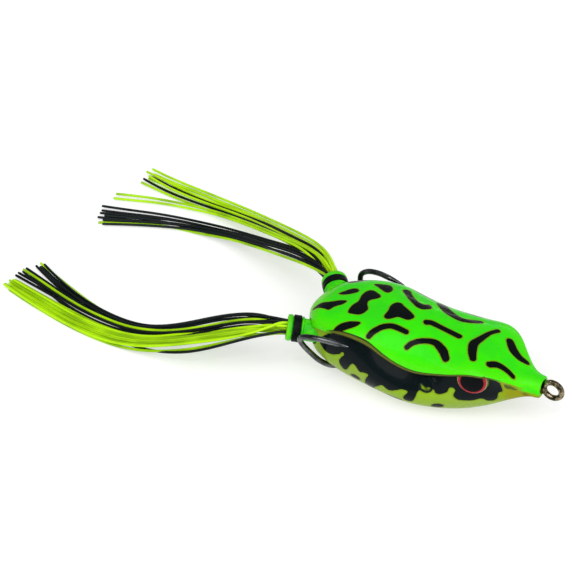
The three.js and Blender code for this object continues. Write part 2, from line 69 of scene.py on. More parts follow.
def studio():
    scene = bpy.context.scene
    azimuth, elevation = math.radians(CAMERA_AZIMUTH), math.radians(CAMERA_ELEVATION)
    back = Vector((math.sin(azimuth) * math.cos(elevation),
                   -math.cos(azimuth) * math.cos(elevation), math.sin(elevation)))
    data = bpy.data.cameras.new("camera")
    data.lens = CAMERA_LENS
    data.sensor_width = SENSOR
    data.clip_start, data.clip_end = 0.01, 20
    camera = bpy.data.objects.new("camera", data)
    camera.location = Vector(CAMERA_TARGET) + back * CAMERA_DISTANCE
    turn = (-back).to_track_quat("-Z", "Y").to_matrix().to_4x4()
    camera.rotation_euler = (turn @ Matrix.Rotation(math.radians(CAMERA_ROLL), 4, "Z")).to_euler()
    scene.collection.objects.link(camera)
    scene.camera = camera
    scene.view_settings.view_transform = "Standard"

    world = bpy.data.worlds.new("studio")
    world.use_nodes = True
    world.node_tree.nodes["Background"].inputs["Color"].default_value = (1.0, 1.0, 1.0, 1)
    world.node_tree.nodes["Background"].inputs["Strength"].default_value = WORLD_STRENGTH
    scene.world = world
    tent = bpy.data.lights.new("tent", "SUN")
    tent.energy = TENT_STRENGTH
    tent.angle = math.radians(TENT_WIDTH)
    lamp = bpy.data.objects.new("tent", tent)
    lamp.rotation_euler = (-Vector(TENT_FROM)).to_track_quat("-Z", "Y").to_euler()
    scene.collection.objects.link(lamp)
    aim = Vector((-0.03, 0.0, 0.01))
    for name, place, size, watts in SMALL_LIGHTS:
        light = bpy.data.lights.new(name, "AREA")
        light.shape = "RECTANGLE"
        light.size, light.size_y = size
        light.energy = watts
        lamp = bpy.data.objects.new(name, light)
        lamp.location = place
        lamp.rotation_euler = (aim - Vector(place)).to_track_quat("-Z", "Y").to_euler()
        scene.collection.objects.link(lamp)

    floor = new_piece("floor", [(-2500, -2500, 0), (2500, -2500, 0), (2500, 2500, 0), (-2500, 2500, 0)],
                      [(0, 1, 2, 3)])
    coat(floor, floor_material())


# ---- meshes -------------------------------------------------------------------------------
def new_piece(name, points, faces):
    mesh = bpy.data.meshes.new(name)
    mesh.from_pydata([tuple(float(c) * MM for c in p) for p in points], [], [tuple(f) for f in faces])
    mesh.update()
    mesh.shade_smooth()
    piece = bpy.data.objects.new(name, mesh)
    bpy.context.scene.collection.objects.link(piece)
    return piece


def sharpen(piece, degrees):
    """Marks edges sharper than an angle, so that they aren't shaded round."""
    piece.data.set_sharp_from_angle(angle=math.radians(degrees))


def solid(name, points, faces, merged=0.0):
    """A closed piece with its faces turned outward, and points nearer than merged joined."""
    piece = new_piece(name, points, faces)
    work = bmesh.new()
    work.from_mesh(piece.data)
    if merged:
        bmesh.ops.remove_doubles(work, verts=work.verts, dist=merged)
    bmesh.ops.recalc_face_normals(work, faces=work.faces)
    work.to_mesh(piece.data)
    work.free()
    return piece


def ring_faces(rows, sides, start=0):
    """Faces between rings of points that follow each other."""
    faces = []
    for row in range(rows - 1):
        near, far = start + row * sides, start + (row + 1) * sides
        for k in range(sides):
            m = (k + 1) % sides
            faces.append((near + k, near + m, far + m, far + k))
    return faces


def coat(piece, material):
    """One material all over, also where a cut left an empty slot."""
    piece.data.materials.clear()
    piece.data.materials.append(material)
    piece.data.polygons.foreach_set("material_index", np.zeros(len(piece.data.polygons), np.int32))


def settle(piece, material, node, body):
    """Coats a piece, hides the CAD node that it stands for, and hangs it on the body it rides on."""
    coat(piece, material)
    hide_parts(node)
    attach(piece, body)


def give(piece, name, values):
    """A number at each vertex, for a material to read."""
    layer = piece.data.attributes.new(name, "FLOAT", "POINT")
    layer.data.foreach_set("value", np.asarray(values, np.float32))


def corners(piece):
    """The mesh's vertices in mm."""
    co = np.empty(len(piece.data.vertices) * 3, np.float32)
    piece.data.vertices.foreach_get("co", co)
    return co.reshape(-1, 3).astype(float) / MM


def ring_frames(line):
    """Two directions across a line at each of its points, without twist."""
    ahead = np.gradient(line, axis=0)
    ahead /= np.linalg.norm(ahead, axis=1)[:, None]
    first = np.cross(ahead[0], [0, 0, 1.0])
    if np.linalg.norm(first) < 0.1:
        first = np.cross(ahead[0], [0, 1.0, 0])
    sides = [first / np.linalg.norm(first)]
    for direction in ahead[1:]:
        side = sides[-1] - direction * (sides[-1] @ direction)
        sides.append(side / np.linalg.norm(side))
    sides = np.array(sides)
    return sides, np.cross(ahead, sides)


def tube_mesh(line, radii, sides):
    """Closed skin round a line, with a radius at each of its points, and each vertex's run along it."""
    line = np.asarray(line, float)
    radii = np.broadcast_to(radii, len(line))
    across, over = ring_frames(line)
    angle = np.arange(sides) * 2 * math.pi / sides
    spokes = np.cos(angle)[None, :, None] * across[:, None] + np.sin(angle)[None, :, None] * over[:, None]
    rings = line[:, None] + radii[:, None, None] * spokes
    points = np.vstack([rings.reshape(-1, 3), line[:1], line[-1:]])
    count = len(line)
    head, tail = count * sides, count * sides + 1
    faces = ring_faces(count, sides)
    for k in range(sides):
        n = (k + 1) % sides
        faces.append((head, n, k))
        faces.append((tail, (count - 1) * sides + k, (count - 1) * sides + n))
    run = np.r_[0, np.cumsum(np.linalg.norm(np.diff(line, axis=0), axis=1))]
    along = np.r_[np.repeat(run, sides), 0, run[-1]]
    return points, faces, along


def joined(parts):
    """One list of points, one of faces and one of vertex numbers from several meshes."""
    points, faces, extra, start = [], [], [], 0
    for p, f, *rest in parts:
        points.append(np.asarray(p, float))
        faces += [tuple(i + start for i in face) for face in f]
        extra.append(rest[0] if rest else np.zeros(len(p)))
        start += len(p)
    return np.vstack(points), faces, np.concatenate(extra)


def rounded(outline, radius, steps=5):
    """The closed outline with its corners rounded."""
    result = []
    n = len(outline)
    for i in range(n):
        a, b, c = (np.array(outline[j % n], float) for j in (i - 1, i, i + 1))
        r = min(radius, 0.45 * np.linalg.norm(b - a), 0.45 * np.linalg.norm(c - b))
        start = b + (a - b) / np.linalg.norm(a - b) * r
        end = b + (c - b) / np.linalg.norm(c - b) * r
        for t in np.linspace(0, 1, steps):
            result.append(tuple((1 - t) ** 2 * start + 2 * t * (1 - t) * b + t * t * end))
    return result


def carve(piece, cutters, operation="DIFFERENCE"):
    """Cuts solids out of a piece, or adds them to it, and removes them."""
    for cutter in cutters:
        change = piece.modifiers.new("carve", "BOOLEAN")
        change.operation = operation
        change.object = cutter
        change.solver = "MANIFOLD"
    shape = piece.evaluated_get(bpy.context.evaluated_depsgraph_get())
    mesh = bpy.data.meshes.new_from_object(shape)
    piece.modifiers.clear()
    old = piece.data
    piece.data = mesh
    bpy.data.meshes.remove(old)
    for cutter in cutters:
        bpy.data.objects.remove(cutter)


# ---- materials ----------------------------------------------------------------------------
NOISE_ROUGHNESS = 0.55


class Finish:
    """A procedural material: small helpers round one Principled shader."""

    def __init__(self, name, **sockets):
        self.material = bpy.data.materials.new(name)
        self.material.use_nodes = True
        self.tree = self.material.node_tree
        self.shader = self.tree.nodes["Principled BSDF"]
        for socket, value in sockets.items():
            self.shader.inputs[socket.replace("_", " ")].default_value = value
        self.place = self.add("ShaderNodeTexCoord").outputs["Object"]

    def add(self, kind, **settings):
        node = self.tree.nodes.new(kind)
        for key, value in settings.items():
            setattr(node, key, value)
        return node

    def join(self, source, target):
        self.tree.links.new(source, target)

    def number(self, attribute):
        return self.add("ShaderNodeAttribute", attribute_name=attribute).outputs["Fac"]

    def noise(self, size_mm, detail):
        """Noise from 0 to 1 with features of about that size."""
        node = self.add("ShaderNodeTexNoise")
        node.inputs["Scale"].default_value = 1 / (size_mm * MM)
        node.inputs["Detail"].default_value = detail
        node.inputs["Roughness"].default_value = NOISE_ROUGHNESS
        self.join(self.place, node.inputs["Vector"])
        return node.outputs["Fac"]

    def ramp(self, value, low, high, start=0.0, end=1.0):
        """start below low, end above high, smooth between."""
        node = self.add("ShaderNodeMapRange", interpolation_type="SMOOTHSTEP")
        falling = low > high
        node.inputs["From Min"].default_value = min(low, high)
        node.inputs["From Max"].default_value = max(low, high)
        node.inputs["To Min"].default_value = end if falling else start
        node.inputs["To Max"].default_value = start if falling else end
        self.join(value, node.inputs["Value"])
        return node.outputs["Result"]

    def mottle(self, size_mm, detail, low, high, start=0.0, end=1.0):
        return self.ramp(self.noise(size_mm, detail), low, high, start, end)

    def maths(self, operation, a, b):
        node = self.add("ShaderNodeMath", operation=operation)
        for socket, value in zip(node.inputs, (a, b)):
            if isinstance(value, (int, float)):
                socket.default_value = value
            else:
                self.join(value, socket)
        return node.outputs[0]

    def mix(self, factor, below, above):
        node = self.add("ShaderNodeMix", data_type="RGBA")
        colours = [s for s in node.inputs if s.type == "RGBA"]
        self.join(factor, node.inputs["Factor"])
        for socket, value in zip(colours, (below, above)):
            if isinstance(value, tuple):
                socket.default_value = (*value, 1)
            else:
                self.join(value, socket)
        return [s for s in node.outputs if s.type == "RGBA"][0]

    def bump(self, height, strength, distance_mm):
        node = self.add("ShaderNodeBump")
        node.inputs["Strength"].default_value = strength
        node.inputs["Distance"].default_value = distance_mm * MM
        self.join(height, node.inputs["Height"])
        self.join(node.outputs["Normal"], self.shader.inputs["Normal"])

    def colour(self, output):
        self.join(output, self.shader.inputs["Base Color"])

    def roughness(self, output):
        self.join(output, self.shader.inputs["Roughness"])


def floor_material():
    """A pale sweep that glows a little, which keeps shadows faint."""
    f = Finish("floor_white", Roughness=0.6, Specular_IOR_Level=0.0, Emission_Strength=0.52)
    f.shader.inputs["Emission Color"].default_value = (1, 1, 1, 1)
    f.colour(f.mix(f.noise(60, 2), (0.50, 0.50, 0.50), (0.54, 0.54, 0.54)))
    return f.material


INK = (0.0012, 0.0030, 0.0030)
FROG_GREEN = (0.038, 0.73, 0.0015)
COOL_GREEN = (0.030, 0.67, 0.006)
# Lime paint; near the ridge it also carries a painted sheen.
LIME = (0.085, 0.74, 0.001)
REAR_LIME = (0.22, 0.66, 0.002)
OLIVE = (0.17, 0.23, 0.004)
# The lip band: its olive is the bare edge with a painted catch light, its dark lines overspray with painted
# shade.
LIP_EDGE_AND_CATCHLIGHT = (0.12, 0.13, 0.013)
LIP_OVERSPRAY_AND_SHADE = (0.010, 0.016, 0.005)
BELLY_LIME = (0.22, 0.42, 0.005)
BELLY_DEEP = (0.25, 0.43, 0.009)
# Painted reflection of the floor on the belly.
BELLY_FLOOR_REFLECTION = (0.26, 0.36, 0.06)
SNOUT_OLIVE = (0.25, 0.27, 0.002)
# Painted shade in and round the nostril's dent.
NOSTRIL_SHADE_BROWN = (0.14, 0.11, 0.004)
WEDGE_GREEN = (0.05, 0.10, 0.003)
FLANK_INK = (0.0015, 0.0050, 0.0060)
INSIDE_LIME = (0.18, 0.46, 0.010)


def body_material():
    """Painted vinyl, with painted sheen, floor reflection and shade in places. The lip carries a band: dark
    line, olive, dark line, at 0 to 1 of "band".
    """
    f = Finish("green_vinyl", Coat_Weight=0.07, Coat_Roughness=0.05, Subsurface_Weight=0.10,
               Subsurface_Scale=0.0012, IOR=1.45, Specular_IOR_Level=0.08)
    f.shader.inputs["Subsurface Radius"].default_value = (0.6, 1.0, 0.2)
    lip, spots, ink = f.number("lip"), f.number("spots"), f.number("ink")
    low, inside, aft = f.number("low"), f.number("inside"), f.number("aft")
    snout, band = f.number("snout"), f.number("band")
    back = f.mix(f.mottle(7, 2, 0.38, 0.62), FROG_GREEN, COOL_GREEN)
    # Lighter lime within 5 mm of the lip: lime paint with a painted sheen along the ridge.
    back = f.mix(f.ramp(lip, -5.0, -0.8, 0.0, 0.70), back, LIME)
    back = f.mix(f.ramp(aft, 0.0, 1.0, 0.0, 0.7), back, REAR_LIME)
    back = f.mix(f.ramp(spots, 0.46, 0.08, 0.0, 0.85), back, OLIVE)
    back = f.mix(f.ramp(spots, 0.05, -0.05), back, INK)
    flank = f.mix(f.mottle(3.5, 3, 0.35, 0.65), BELLY_LIME, BELLY_DEEP)
    # Paler towards the belly: painted reflection of the white floor.
    flank = f.mix(low, flank, BELLY_FLOOR_REFLECTION)
    flank = f.mix(snout, flank, SNOUT_OLIVE)
    flank = f.mix(f.number("cheek"), flank, FROG_GREEN)
    # Brown patch by the nostril: painted shade of its dent.
    flank = f.mix(f.ramp(f.number("nostril_shade"), 1.0, 0.2, 0.0, 0.75), flank, NOSTRIL_SHADE_BROWN)
    flank = f.mix(f.ramp(f.number("wedge"), 0.10, -0.06, 0.0, 0.9), flank, WEDGE_GREEN)
    flank = f.mix(f.ramp(ink, 0.55, 0.05, 0.0, 0.65), flank, OLIVE)
    flank = f.mix(f.ramp(ink, 0.06, -0.06), flank, FLANK_INK)
    flank = f.mix(f.number("ear"), flank, BELLY_DEEP)
    paint = f.mix(f.ramp(lip, -0.03, 0.03), back, flank)
    rim = f.number("rim")
    # Dark over the whole lip band, left as lines at its edges: overspray with painted shade.
    line = f.maths("MULTIPLY", f.ramp(band, -0.12, 0.02), f.ramp(band, 1.25, 1.12))
    paint = f.mix(f.maths("MULTIPLY", line, rim), paint, LIP_OVERSPRAY_AND_SHADE)
    # The olive stripe between them: the bare edge with a painted catch light.
    catchlight_stripe = f.maths("MULTIPLY", f.ramp(band, 0.14, 0.28), f.ramp(band, 0.88, 0.72))
    paint = f.mix(f.maths("MULTIPLY", catchlight_stripe, rim), paint, LIP_EDGE_AND_CATCHLIGHT)
    paint = f.mix(inside, paint, INSIDE_LIME)
    f.colour(paint)
    f.roughness(f.mottle(1.2, 4, 0.3, 0.7, 0.20, 0.33))
    f.bump(f.noise(0.5, 3), 0.10, 0.03)
    return f.material


def strand_material(name, dark, light, speck):
    f = Finish(name, Coat_Weight=0.06, Coat_Roughness=0.10, IOR=1.43, Specular_IOR_Level=0.15)
    if name == "chartreuse_silicone":
        f.shader.inputs["Subsurface Weight"].default_value = 0.15
        f.shader.inputs["Subsurface Radius"].default_value = (0.8, 1.0, 0.2)
        f.shader.inputs["Subsurface Scale"].default_value = 0.0006
    tone = f.maths("ADD", f.number("tone"), f.noise(9, 2))
    colour = f.mix(f.ramp(tone, 0.55, 1.35), dark, light)
    colour = f.mix(f.mottle(0.35, 3, 0.66, 0.80, 0.0, 0.5), colour, speck)
    f.colour(colour)
    f.roughness(f.mottle(0.8, 3, 0.3, 0.7, 0.28, 0.42))
    f.bump(f.noise(0.22, 2), 0.12, 0.02)
    return f.material


def hook_material():
    """Polished nearly black wire; the line eye at the nose is worn to bronze with brassy patches."""
    f = Finish("black_nickel", Metallic=1.0)
    bronze = f.ramp(f.number("forward"), 32.2, 33.4)
    base = f.mix(f.mottle(2.5, 4, 0.3, 0.7), (0.035, 0.038, 0.041), (0.150, 0.155, 0.160))
    warm = f.mix(f.mottle(1.1, 4, 0.42, 0.60), (0.035, 0.030, 0.016), (0.34, 0.28, 0.17))
    f.colour(f.mix(bronze, base, warm))
    f.roughness(f.mottle(0.9, 4, 0.3, 0.75, 0.10, 0.20))
    f.bump(f.noise(0.3, 3), 0.06, 0.02)
    return f.material


def lead_material():
    f = Finish("lead_grey", Metallic=0.75)
    base = f.mix(f.mottle(1.8, 5, 0.3, 0.7), (0.12, 0.125, 0.13), (0.24, 0.245, 0.25))
    f.colour(f.mix(f.mottle(0.5, 3, 0.62, 0.78, 0.0, 0.6), base, (0.38, 0.38, 0.37)))
    f.roughness(f.mottle(1.0, 4, 0.3, 0.7, 0.45, 0.65))
    f.bump(f.noise(0.45, 4), 0.35, 0.06)
    return f.material


def rubber_material():
    f = Finish("black_rubber", IOR=1.5, Specular_IOR_Level=0.05)
    f.colour(f.mix(f.mottle(0.9, 4, 0.35, 0.75), (0.0015, 0.0025, 0.003), (0.006, 0.008, 0.009)))
    f.roughness(f.mottle(0.7, 3, 0.3, 0.7, 0.32, 0.5))
    f.bump(f.noise(0.25, 3), 0.2, 0.03)
    return f.material


def sleeve_material():
    f = Finish("sleeve_vinyl", Coat_Weight=0.08, Coat_Roughness=0.06, Subsurface_Weight=0.1,
               Subsurface_Scale=0.001, IOR=1.45, Specular_IOR_Level=0.12)
    colour = f.mix(f.mottle(2.2, 3, 0.35, 0.65), (0.025, 0.50, 0.006), (0.07, 0.66, 0.003))
    f.colour(f.mix(f.ramp(f.number("mouth"), 0.0, 1.0, 0.0, 0.7), colour, (0.14, 0.62, 0.003)))
    f.roughness(f.mottle(0.9, 3, 0.3, 0.7, 0.22, 0.36))
    f.bump(f.noise(0.4, 3), 0.12, 0.03)
    return f.material


def eye_material():
    f = Finish("painted_eye", Coat_Weight=0.05, Coat_Roughness=0.02, Roughness=0.35, Specular_IOR_Level=0.03)
    ring = f.number("ring")
    fleck = f.noise(0.25, 4)
    red = f.mix(f.ramp(fleck, 0.35, 0.7), (0.26, 0.012, 0.022), (0.52, 0.040, 0.060))
    gold = f.mix(f.ramp(fleck, 0.35, 0.7), (0.34, 0.26, 0.12), (0.60, 0.50, 0.28))
    colour = f.mix(f.ramp(ring, 0.76, 0.79), (0.0022, 0.0025, 0.0032), red)
    f.colour(f.mix(f.ramp(ring, 0.925, 0.95), colour, gold))
    f.bump(f.noise(0.6, 2), 0.03, 0.02)
    return f.material


def rim_material():
    f = Finish("eye_rim_gold", Metallic=0.6)
    f.colour(f.mix(f.mottle(0.5, 4, 0.35, 0.7), (0.26, 0.20, 0.10), (0.55, 0.46, 0.26)))
    f.roughness(f.mottle(0.4, 3, 0.3, 0.7, 0.25, 0.4))
    return f.material


# ---- the moulded body's own curves --------------------------------------------------------
REAR_X = -32.5
NOSE_X = 33.3
REAR_ROUNDING = 6.5
REAR_CENTRE_Z = 13.5
WALL = 1.4
LIP_DROP = 1.1
RIDGE_HALF_WIDTH = [
    (-32.5, 7.4), (-29.5, 8.8), (-26, 10.3), (-21, 11.7), (-14, 12.4), (-6, 12.4), (2, 12.2), (10, 12.0),
    (16, 11.6), (20, 10.8), (23, 9.0), (26, 6.4), (29, 4.1), (31.2, 3.0), (33.3, 2.6),
]
RIDGE_HEIGHT = [
    (-32.5, 13.6), (-28, 14.7), (-24, 15.9), (-20, 16.9), (-16, 17.5), (-12, 17.4),
    (-9, 16.6), (-5.5, 14.9), (-2, 13.6), (1.5, 13.0), (5, 13.3), (12, 15.3), (18, 17.1),
    (22, 16.8), (24, 15.9), (26.5, 14.2), (29, 12.6), (33.3, 11.7),
]
BACK_HEIGHT = [
    (-32.5, 17.2), (-29, 18.3), (-25, 19.3), (-20, 20.3), (-14, 21.1), (-5, 21.7), (5, 21.0), (12, 20.2),
    (18, 19.6), (23, 17.6), (28, 14.9), (31.2, 14.0), (33.3, 13.9),
]
BELLY_HEIGHT = [
    (-32.5, 7.0), (-28, 4.9), (-22, 2.7), (-16, 1.4), (-8, 0.8), (6, 0.8), (14, 1.6),
    (21, 4.2), (27, 7.3), (30.4, 8.7), (33.3, 9.1),
]
BELLY_HALF_WIDTH = [
    (-32.5, 7.4), (-28, 9.6), (-22, 12.0), (-14, 13.4), (-6, 14.0), (2, 13.9), (8, 12.9),
    (14, 11.0), (20, 8.9), (25, 6.0), (29, 3.7), (31.2, 2.9), (33.3, 2.6),
]
GROOVE_DEPTH = [
    (-32.5, 0.0), (-26, 0.5), (-20, 1.0), (-8, 1.5), (4, 1.2), (12, 1.5), (17, 2.2),
    (20, 2.0), (24, 0.9), (28, 0.2), (33.3, 0.0),
]
# The flank's widest line: the share of the steps above it, and its height from belly to lip.
FLANK_SPLIT = 0.35
FLANK_MIDDLE = 0.52
UNROLL_STEP = 0.1
UNROLL_BATCH = 4000
# Painted run per radian round the rear's rounding.
REAR_RUN = 7.4


def curve(table, x):
    """Smooth value at each x through the table's stations."""
    xs, ys = np.array(table, float).T
    x = np.atleast_1d(np.asarray(x, float))
    i = np.clip(np.searchsorted(xs, x, side="left") - 1, 0, len(xs) - 2)
    before, after = np.maximum(np.arange(len(xs)) - 1, 0), np.minimum(np.arange(len(xs)) + 1, len(xs) - 1)
    slope = (ys[after] - ys[before]) / (xs[after] - xs[before])
    h = xs[i + 1] - xs[i]
    s = np.clip((x - xs[i]) / h, 0, 1)
    return (ys[i] * (2 * s**3 - 3 * s**2 + 1) + slope[i] * h * (s**3 - 2 * s**2 + s)
            + ys[i + 1] * (3 * s**2 - 2 * s**3) + slope[i + 1] * h * (s**3 - s**2))


def outer_half(x, back_steps, lip_steps, flank_steps):
    """Half sections from the back's middle to the belly's: arrays [station, point] of y and z."""
    x = np.atleast_1d(x)[:, None]
    half, ridge, back, belly, bulge, groove = (
        curve(t, x[:, 0])[:, None] for t in
        (RIDGE_HALF_WIDTH, RIDGE_HEIGHT, BACK_HEIGHT, BELLY_HEIGHT, BELLY_HALF_WIDTH, GROOVE_DEPTH))
    a = np.linspace(0, np.pi / 2, back_steps + 1)[None]
    y1 = half * np.sin(a) ** 0.85
    z1 = ridge + (back - ridge) * np.clip(np.cos(a), 0, 1) ** 0.95
    c = (1 - np.cos(np.pi * np.arange(1, lip_steps + 1) / lip_steps))[None] / 2
    y2, z2 = half - groove * c, ridge - LIP_DROP * c
    y0, z0 = y2[:, -1:], z2[:, -1:]
    middle = belly + (z0 - belly) * FLANK_MIDDLE
    s = (np.arange(1, flank_steps + 1) / flank_steps)[None]
    u = np.clip(s / FLANK_SPLIT, 0, 1)
    a = np.pi / 2 * np.clip((s - FLANK_SPLIT) / (1 - FLANK_SPLIT), 0, 1)
    y3 = np.where(s < FLANK_SPLIT, y0 + (bulge - y0) * np.sin(u * np.pi / 2),
                  bulge * np.clip(np.cos(a), 0, 1) ** 0.5)
    z3 = np.where(s < FLANK_SPLIT, z0 + (middle - z0) * u, middle - (middle - belly) * np.sin(a))
    return np.hstack([y1, y2, y3]), np.hstack([z1, z2, z3])


def rear_scale(x, rear=REAR_X, radius=REAR_ROUNDING):
    d = np.clip((rear + radius - np.asarray(x, float)) / radius, 0, 1)
    return np.sqrt(np.clip(1 - d * d, 0, 1))


def unrolled(points):
    """For points on or near the skin, in mm: the run along the body, across the back from its
    middle, down the flank from the lip (below zero on the back), and the distance off the skin."""
    back_steps, lip_steps, flank_steps = 110, 12, 110
    grid = np.arange(REAR_X + 0.02, NOSE_X, UNROLL_STEP)
    ys, zs = outer_half(grid, back_steps, lip_steps, flank_steps)
    steps = np.hypot(np.diff(ys, axis=1), np.diff(zs, axis=1))
    run = np.hstack([np.zeros((len(grid), 1)), np.cumsum(steps, axis=1)])
    x, y, z = points.T
    scale = np.maximum(rear_scale(x), 0.05)
    y = np.abs(y) / scale
    z = REAR_CENTRE_Z + (z - REAR_CENTRE_Z) / scale
    row = np.clip(np.round((x - grid[0]) / UNROLL_STEP).astype(int), 0, len(grid) - 1)
    across, down, off = (np.empty(len(x)) for _ in range(3))
    for lo in range(0, len(x), UNROLL_BATCH):
        part = slice(lo, lo + UNROLL_BATCH)
        r = row[part]
        d2 = (ys[r] - y[part, None]) ** 2 + (zs[r] - z[part, None]) ** 2
        k = d2.argmin(1)
        across[part] = run[r, k]
        down[part] = run[r, k] - run[r, back_steps]
        off[part] = np.sqrt(d2[np.arange(len(k)), k]) * scale[part]
    turn = np.arcsin(np.clip((REAR_X + REAR_ROUNDING - x) / REAR_ROUNDING, 0, 1))
    along = np.where(turn > 0, REAR_X + REAR_ROUNDING - REAR_RUN * turn, x)
    return along, across * np.sign(points[:, 1]), down, off


BAND_CENTRE = (-32.0, 10.1, 12.75)
RIGHT_LEG_DIRECTION = (-0.87, -0.45, 0.18)
LEFT_LEG_DIRECTION = (-0.65, 0.75, 0.10)

# ---- strands ------------------------------------------------------------------------------
STRAND_DIAMETER = 0.76
STRAND_RADIUS = STRAND_DIAMETER / 2
STRAND_NODES = 61
STRAND_ROUTE_POINTS = 31
MOUTH_START = 1.2
MOUTH_END = 3.4
MOUTH_SQUASH = 0.84
MOUTH_REACH = 2.02
STRAND_SIDES = 10
STRAND_RINGS = 110
REST_HEIGHT = STRAND_RADIUS + 0.02
# A lock fans out over this run, from this share of it on.
FAN_RUN = 80
FAN_START = 0.45
# How much the strands of a lock differ sideways, in height, by layer and in length.
WANDER = 0.22
RISE_SPREAD = 0.25
LAYER_STEP = 0.35
LENGTH_SPREAD = 0.012
# How fast strands part, straighten and return to their own routes, and the rounds without a return.
PUSH_RATE = 0.4
PUSH_LIMIT = 0.3
SMOOTH_RATE = 0.12
PULL_RATE = 0.03
FREE_ROUNDS = 30
GREEN, BLACK = "chartreuse", "black"

# Each lock of strands: its route after the sleeve's mouth, [x, y, z] of the middle, then its
# strands from the outer side to the inner one, their spacing on the floor and at the tips.
RIGHT_LOCKS = [
    dict(route=[(-41.0, -19.2, 12.8), (-49.0, -23.6, 9.4), (-56.0, -25.4, 6.2), (-66.0, -25.4, 2.8),
                (-77.0, -24.4, 0.5), (-90.0, -22.6, 0.4), (-106.0, -17.0, 0.4), (-124.5, -10.2, 0.4)],
         strands=[BLACK], spacing=0, fan=0),
    dict(route=[(-41.0, -18.4, 13.0), (-49.0, -22.2, 9.8), (-58.0, -24.4, 5.9), (-68.0, -25.6, 2.6),
                (-77.0, -26.2, 0.6), (-88.0, -26.2, 0.4), (-106.0, -23.2, 0.4), (-121.0, -19.6, 0.4)],
         strands=[GREEN], spacing=0, fan=0),
    dict(route=[(-41.8, -16.6, 13.2), (-49.3, -19.0, 10.8), (-58.8, -20.9, 7.0), (-68.8, -22.6, 3.3),
                (-77.0, -23.3, 1.2), (-86.0, -23.9, 0.8), (-98.0, -22.7, 0.8), (-108.0, -20.4, 0.8),
                (-116.0, -18.8, 0.8), (-122.5, -17.2, 0.8)],
         strands=[GREEN] * 8, spacing=0.74, fan=0.52),
    dict(route=[(-41.4, -12.6, 13.9), (-49.0, -15.3, 11.8), (-57.0, -17.8, 8.4), (-67.5, -19.4, 4.2),
                (-77.0, -19.9, 1.6), (-86.0, -19.4, 0.9), (-97.0, -18.0, 0.8), (-107.0, -15.4, 0.8),
                (-116.0, -13.2, 0.8), (-122.5, -11.6, 0.8)],
         strands=[BLACK, GREEN, BLACK, BLACK, BLACK], spacing=0.48, fan=0.85),
    dict(route=[(-41.5, -10.8, 14.2), (-48.5, -11.9, 12.6), (-55.5, -13.6, 9.9), (-63.5, -16.2, 6.2),
                (-73.5, -18.2, 2.6), (-81.0, -18.2, 1.2), (-89.5, -16.8, 0.8), (-99.0, -14.6, 0.8),
                (-109.0, -11.2, 0.8), (-120.0, -6.4, 0.8)],
         strands=[GREEN, BLACK, BLACK, BLACK, BLACK], spacing=0.5, fan=0.6),
]
LEFT_LOCKS = [
    dict(route=[(-38.6, 17.6, 14.3), (-43.4, 21.8, 13.2), (-51.0, 26.2, 11.0), (-63.0, 32.4, 7.1),
                (-78.0, 39.4, 2.5), (-90.0, 42.4, 0.9), (-101.5, 43.6, 0.8), (-110.5, 44.2, 0.8),
                (-118.5, 45.6, 0.8)],
         strands=[GREEN] * 4, spacing=0.7, fan=1.0),
    dict(route=[(-41.3, 18.8, 13.8), (-46.8, 21.4, 12.6), (-55.5, 25.4, 10.1), (-66.8, 31.5, 6.3),
                (-80.0, 37.2, 2.3), (-90.0, 39.0, 1.0), (-99.0, 39.6, 0.8), (-108.5, 40.9, 0.8),
                (-117.0, 42.8, 0.8)],
         strands=[GREEN, BLACK, GREEN, GREEN, BLACK, GREEN], spacing=0.55, fan=0.95),
    dict(route=[(-41.4, 17.6, 14.0), (-53.0, 22.4, 11.6), (-66.5, 28.6, 7.4), (-78.0, 33.8, 3.6),
                (-88.5, 36.4, 1.3), (-97.0, 36.2, 0.8), (-104.5, 35.0, 0.8), (-112.0, 33.0, 0.8),
                (-120.0, 30.4, 0.8)],
         strands=[GREEN, GREEN], spacing=0.7, fan=1.7),
    dict(route=[(-40.2, 15.0, 14.0), (-45.0, 17.4, 13.0), (-52.0, 19.9, 11.1), (-62.0, 23.2, 7.8),
                (-75.0, 27.6, 3.6), (-85.0, 29.4, 1.2), (-93.0, 28.6, 0.8), (-101.0, 26.6, 0.8),
                (-109.5, 23.6, 0.8), (-118.5, 20.2, 0.8)],
         strands=[BLACK] * 6, spacing=0.6, fan=1.7),
    dict(route=[(-40.0, 13.4, 14.0), (-44.5, 14.6, 13.0), (-54.5, 18.0, 10.2), (-66.0, 22.8, 6.2),
                (-77.0, 26.2, 2.8), (-86.0, 27.4, 0.8), (-97.0, 26.4, 0.5), (-110.0, 22.0, 0.5),
                (-117.5, 18.4, 0.5)],
         strands=[GREEN, BLACK], spacing=0.8, fan=1.6),
]


def spline(a, b, c, d, t):
    """Smooth curve from b to c, for t from 0 to 1, between neighbours a and d."""
    return 0.5 * (2 * b + (c - a) * t + (2 * a - 5 * b + 4 * c - d) * t**2 + (3 * b - a - 3 * c + d) * t**3)


def catmull(points, samples):
    """Points evenly spaced along a smooth curve through the given ones."""
    p = np.asarray(points, float)
    p = np.vstack([2 * p[0] - p[1], p, 2 * p[-1] - p[-2]])
    fine = []
    for a, b, c, d in zip(p, p[1:], p[2:], p[3:]):
        t = np.linspace(0, 1, 24, endpoint=False)[:, None]
        fine.append(spline(a, b, c, d, t))
    fine = np.vstack(fine + [p[-2:-1]])
    run = np.r_[0, np.cumsum(np.linalg.norm(np.diff(fine, axis=0), axis=1))]
    want = np.linspace(0, run[-1], samples)
    return np.stack([np.interp(want, run, fine[:, k]) for k in range(3)], 1)


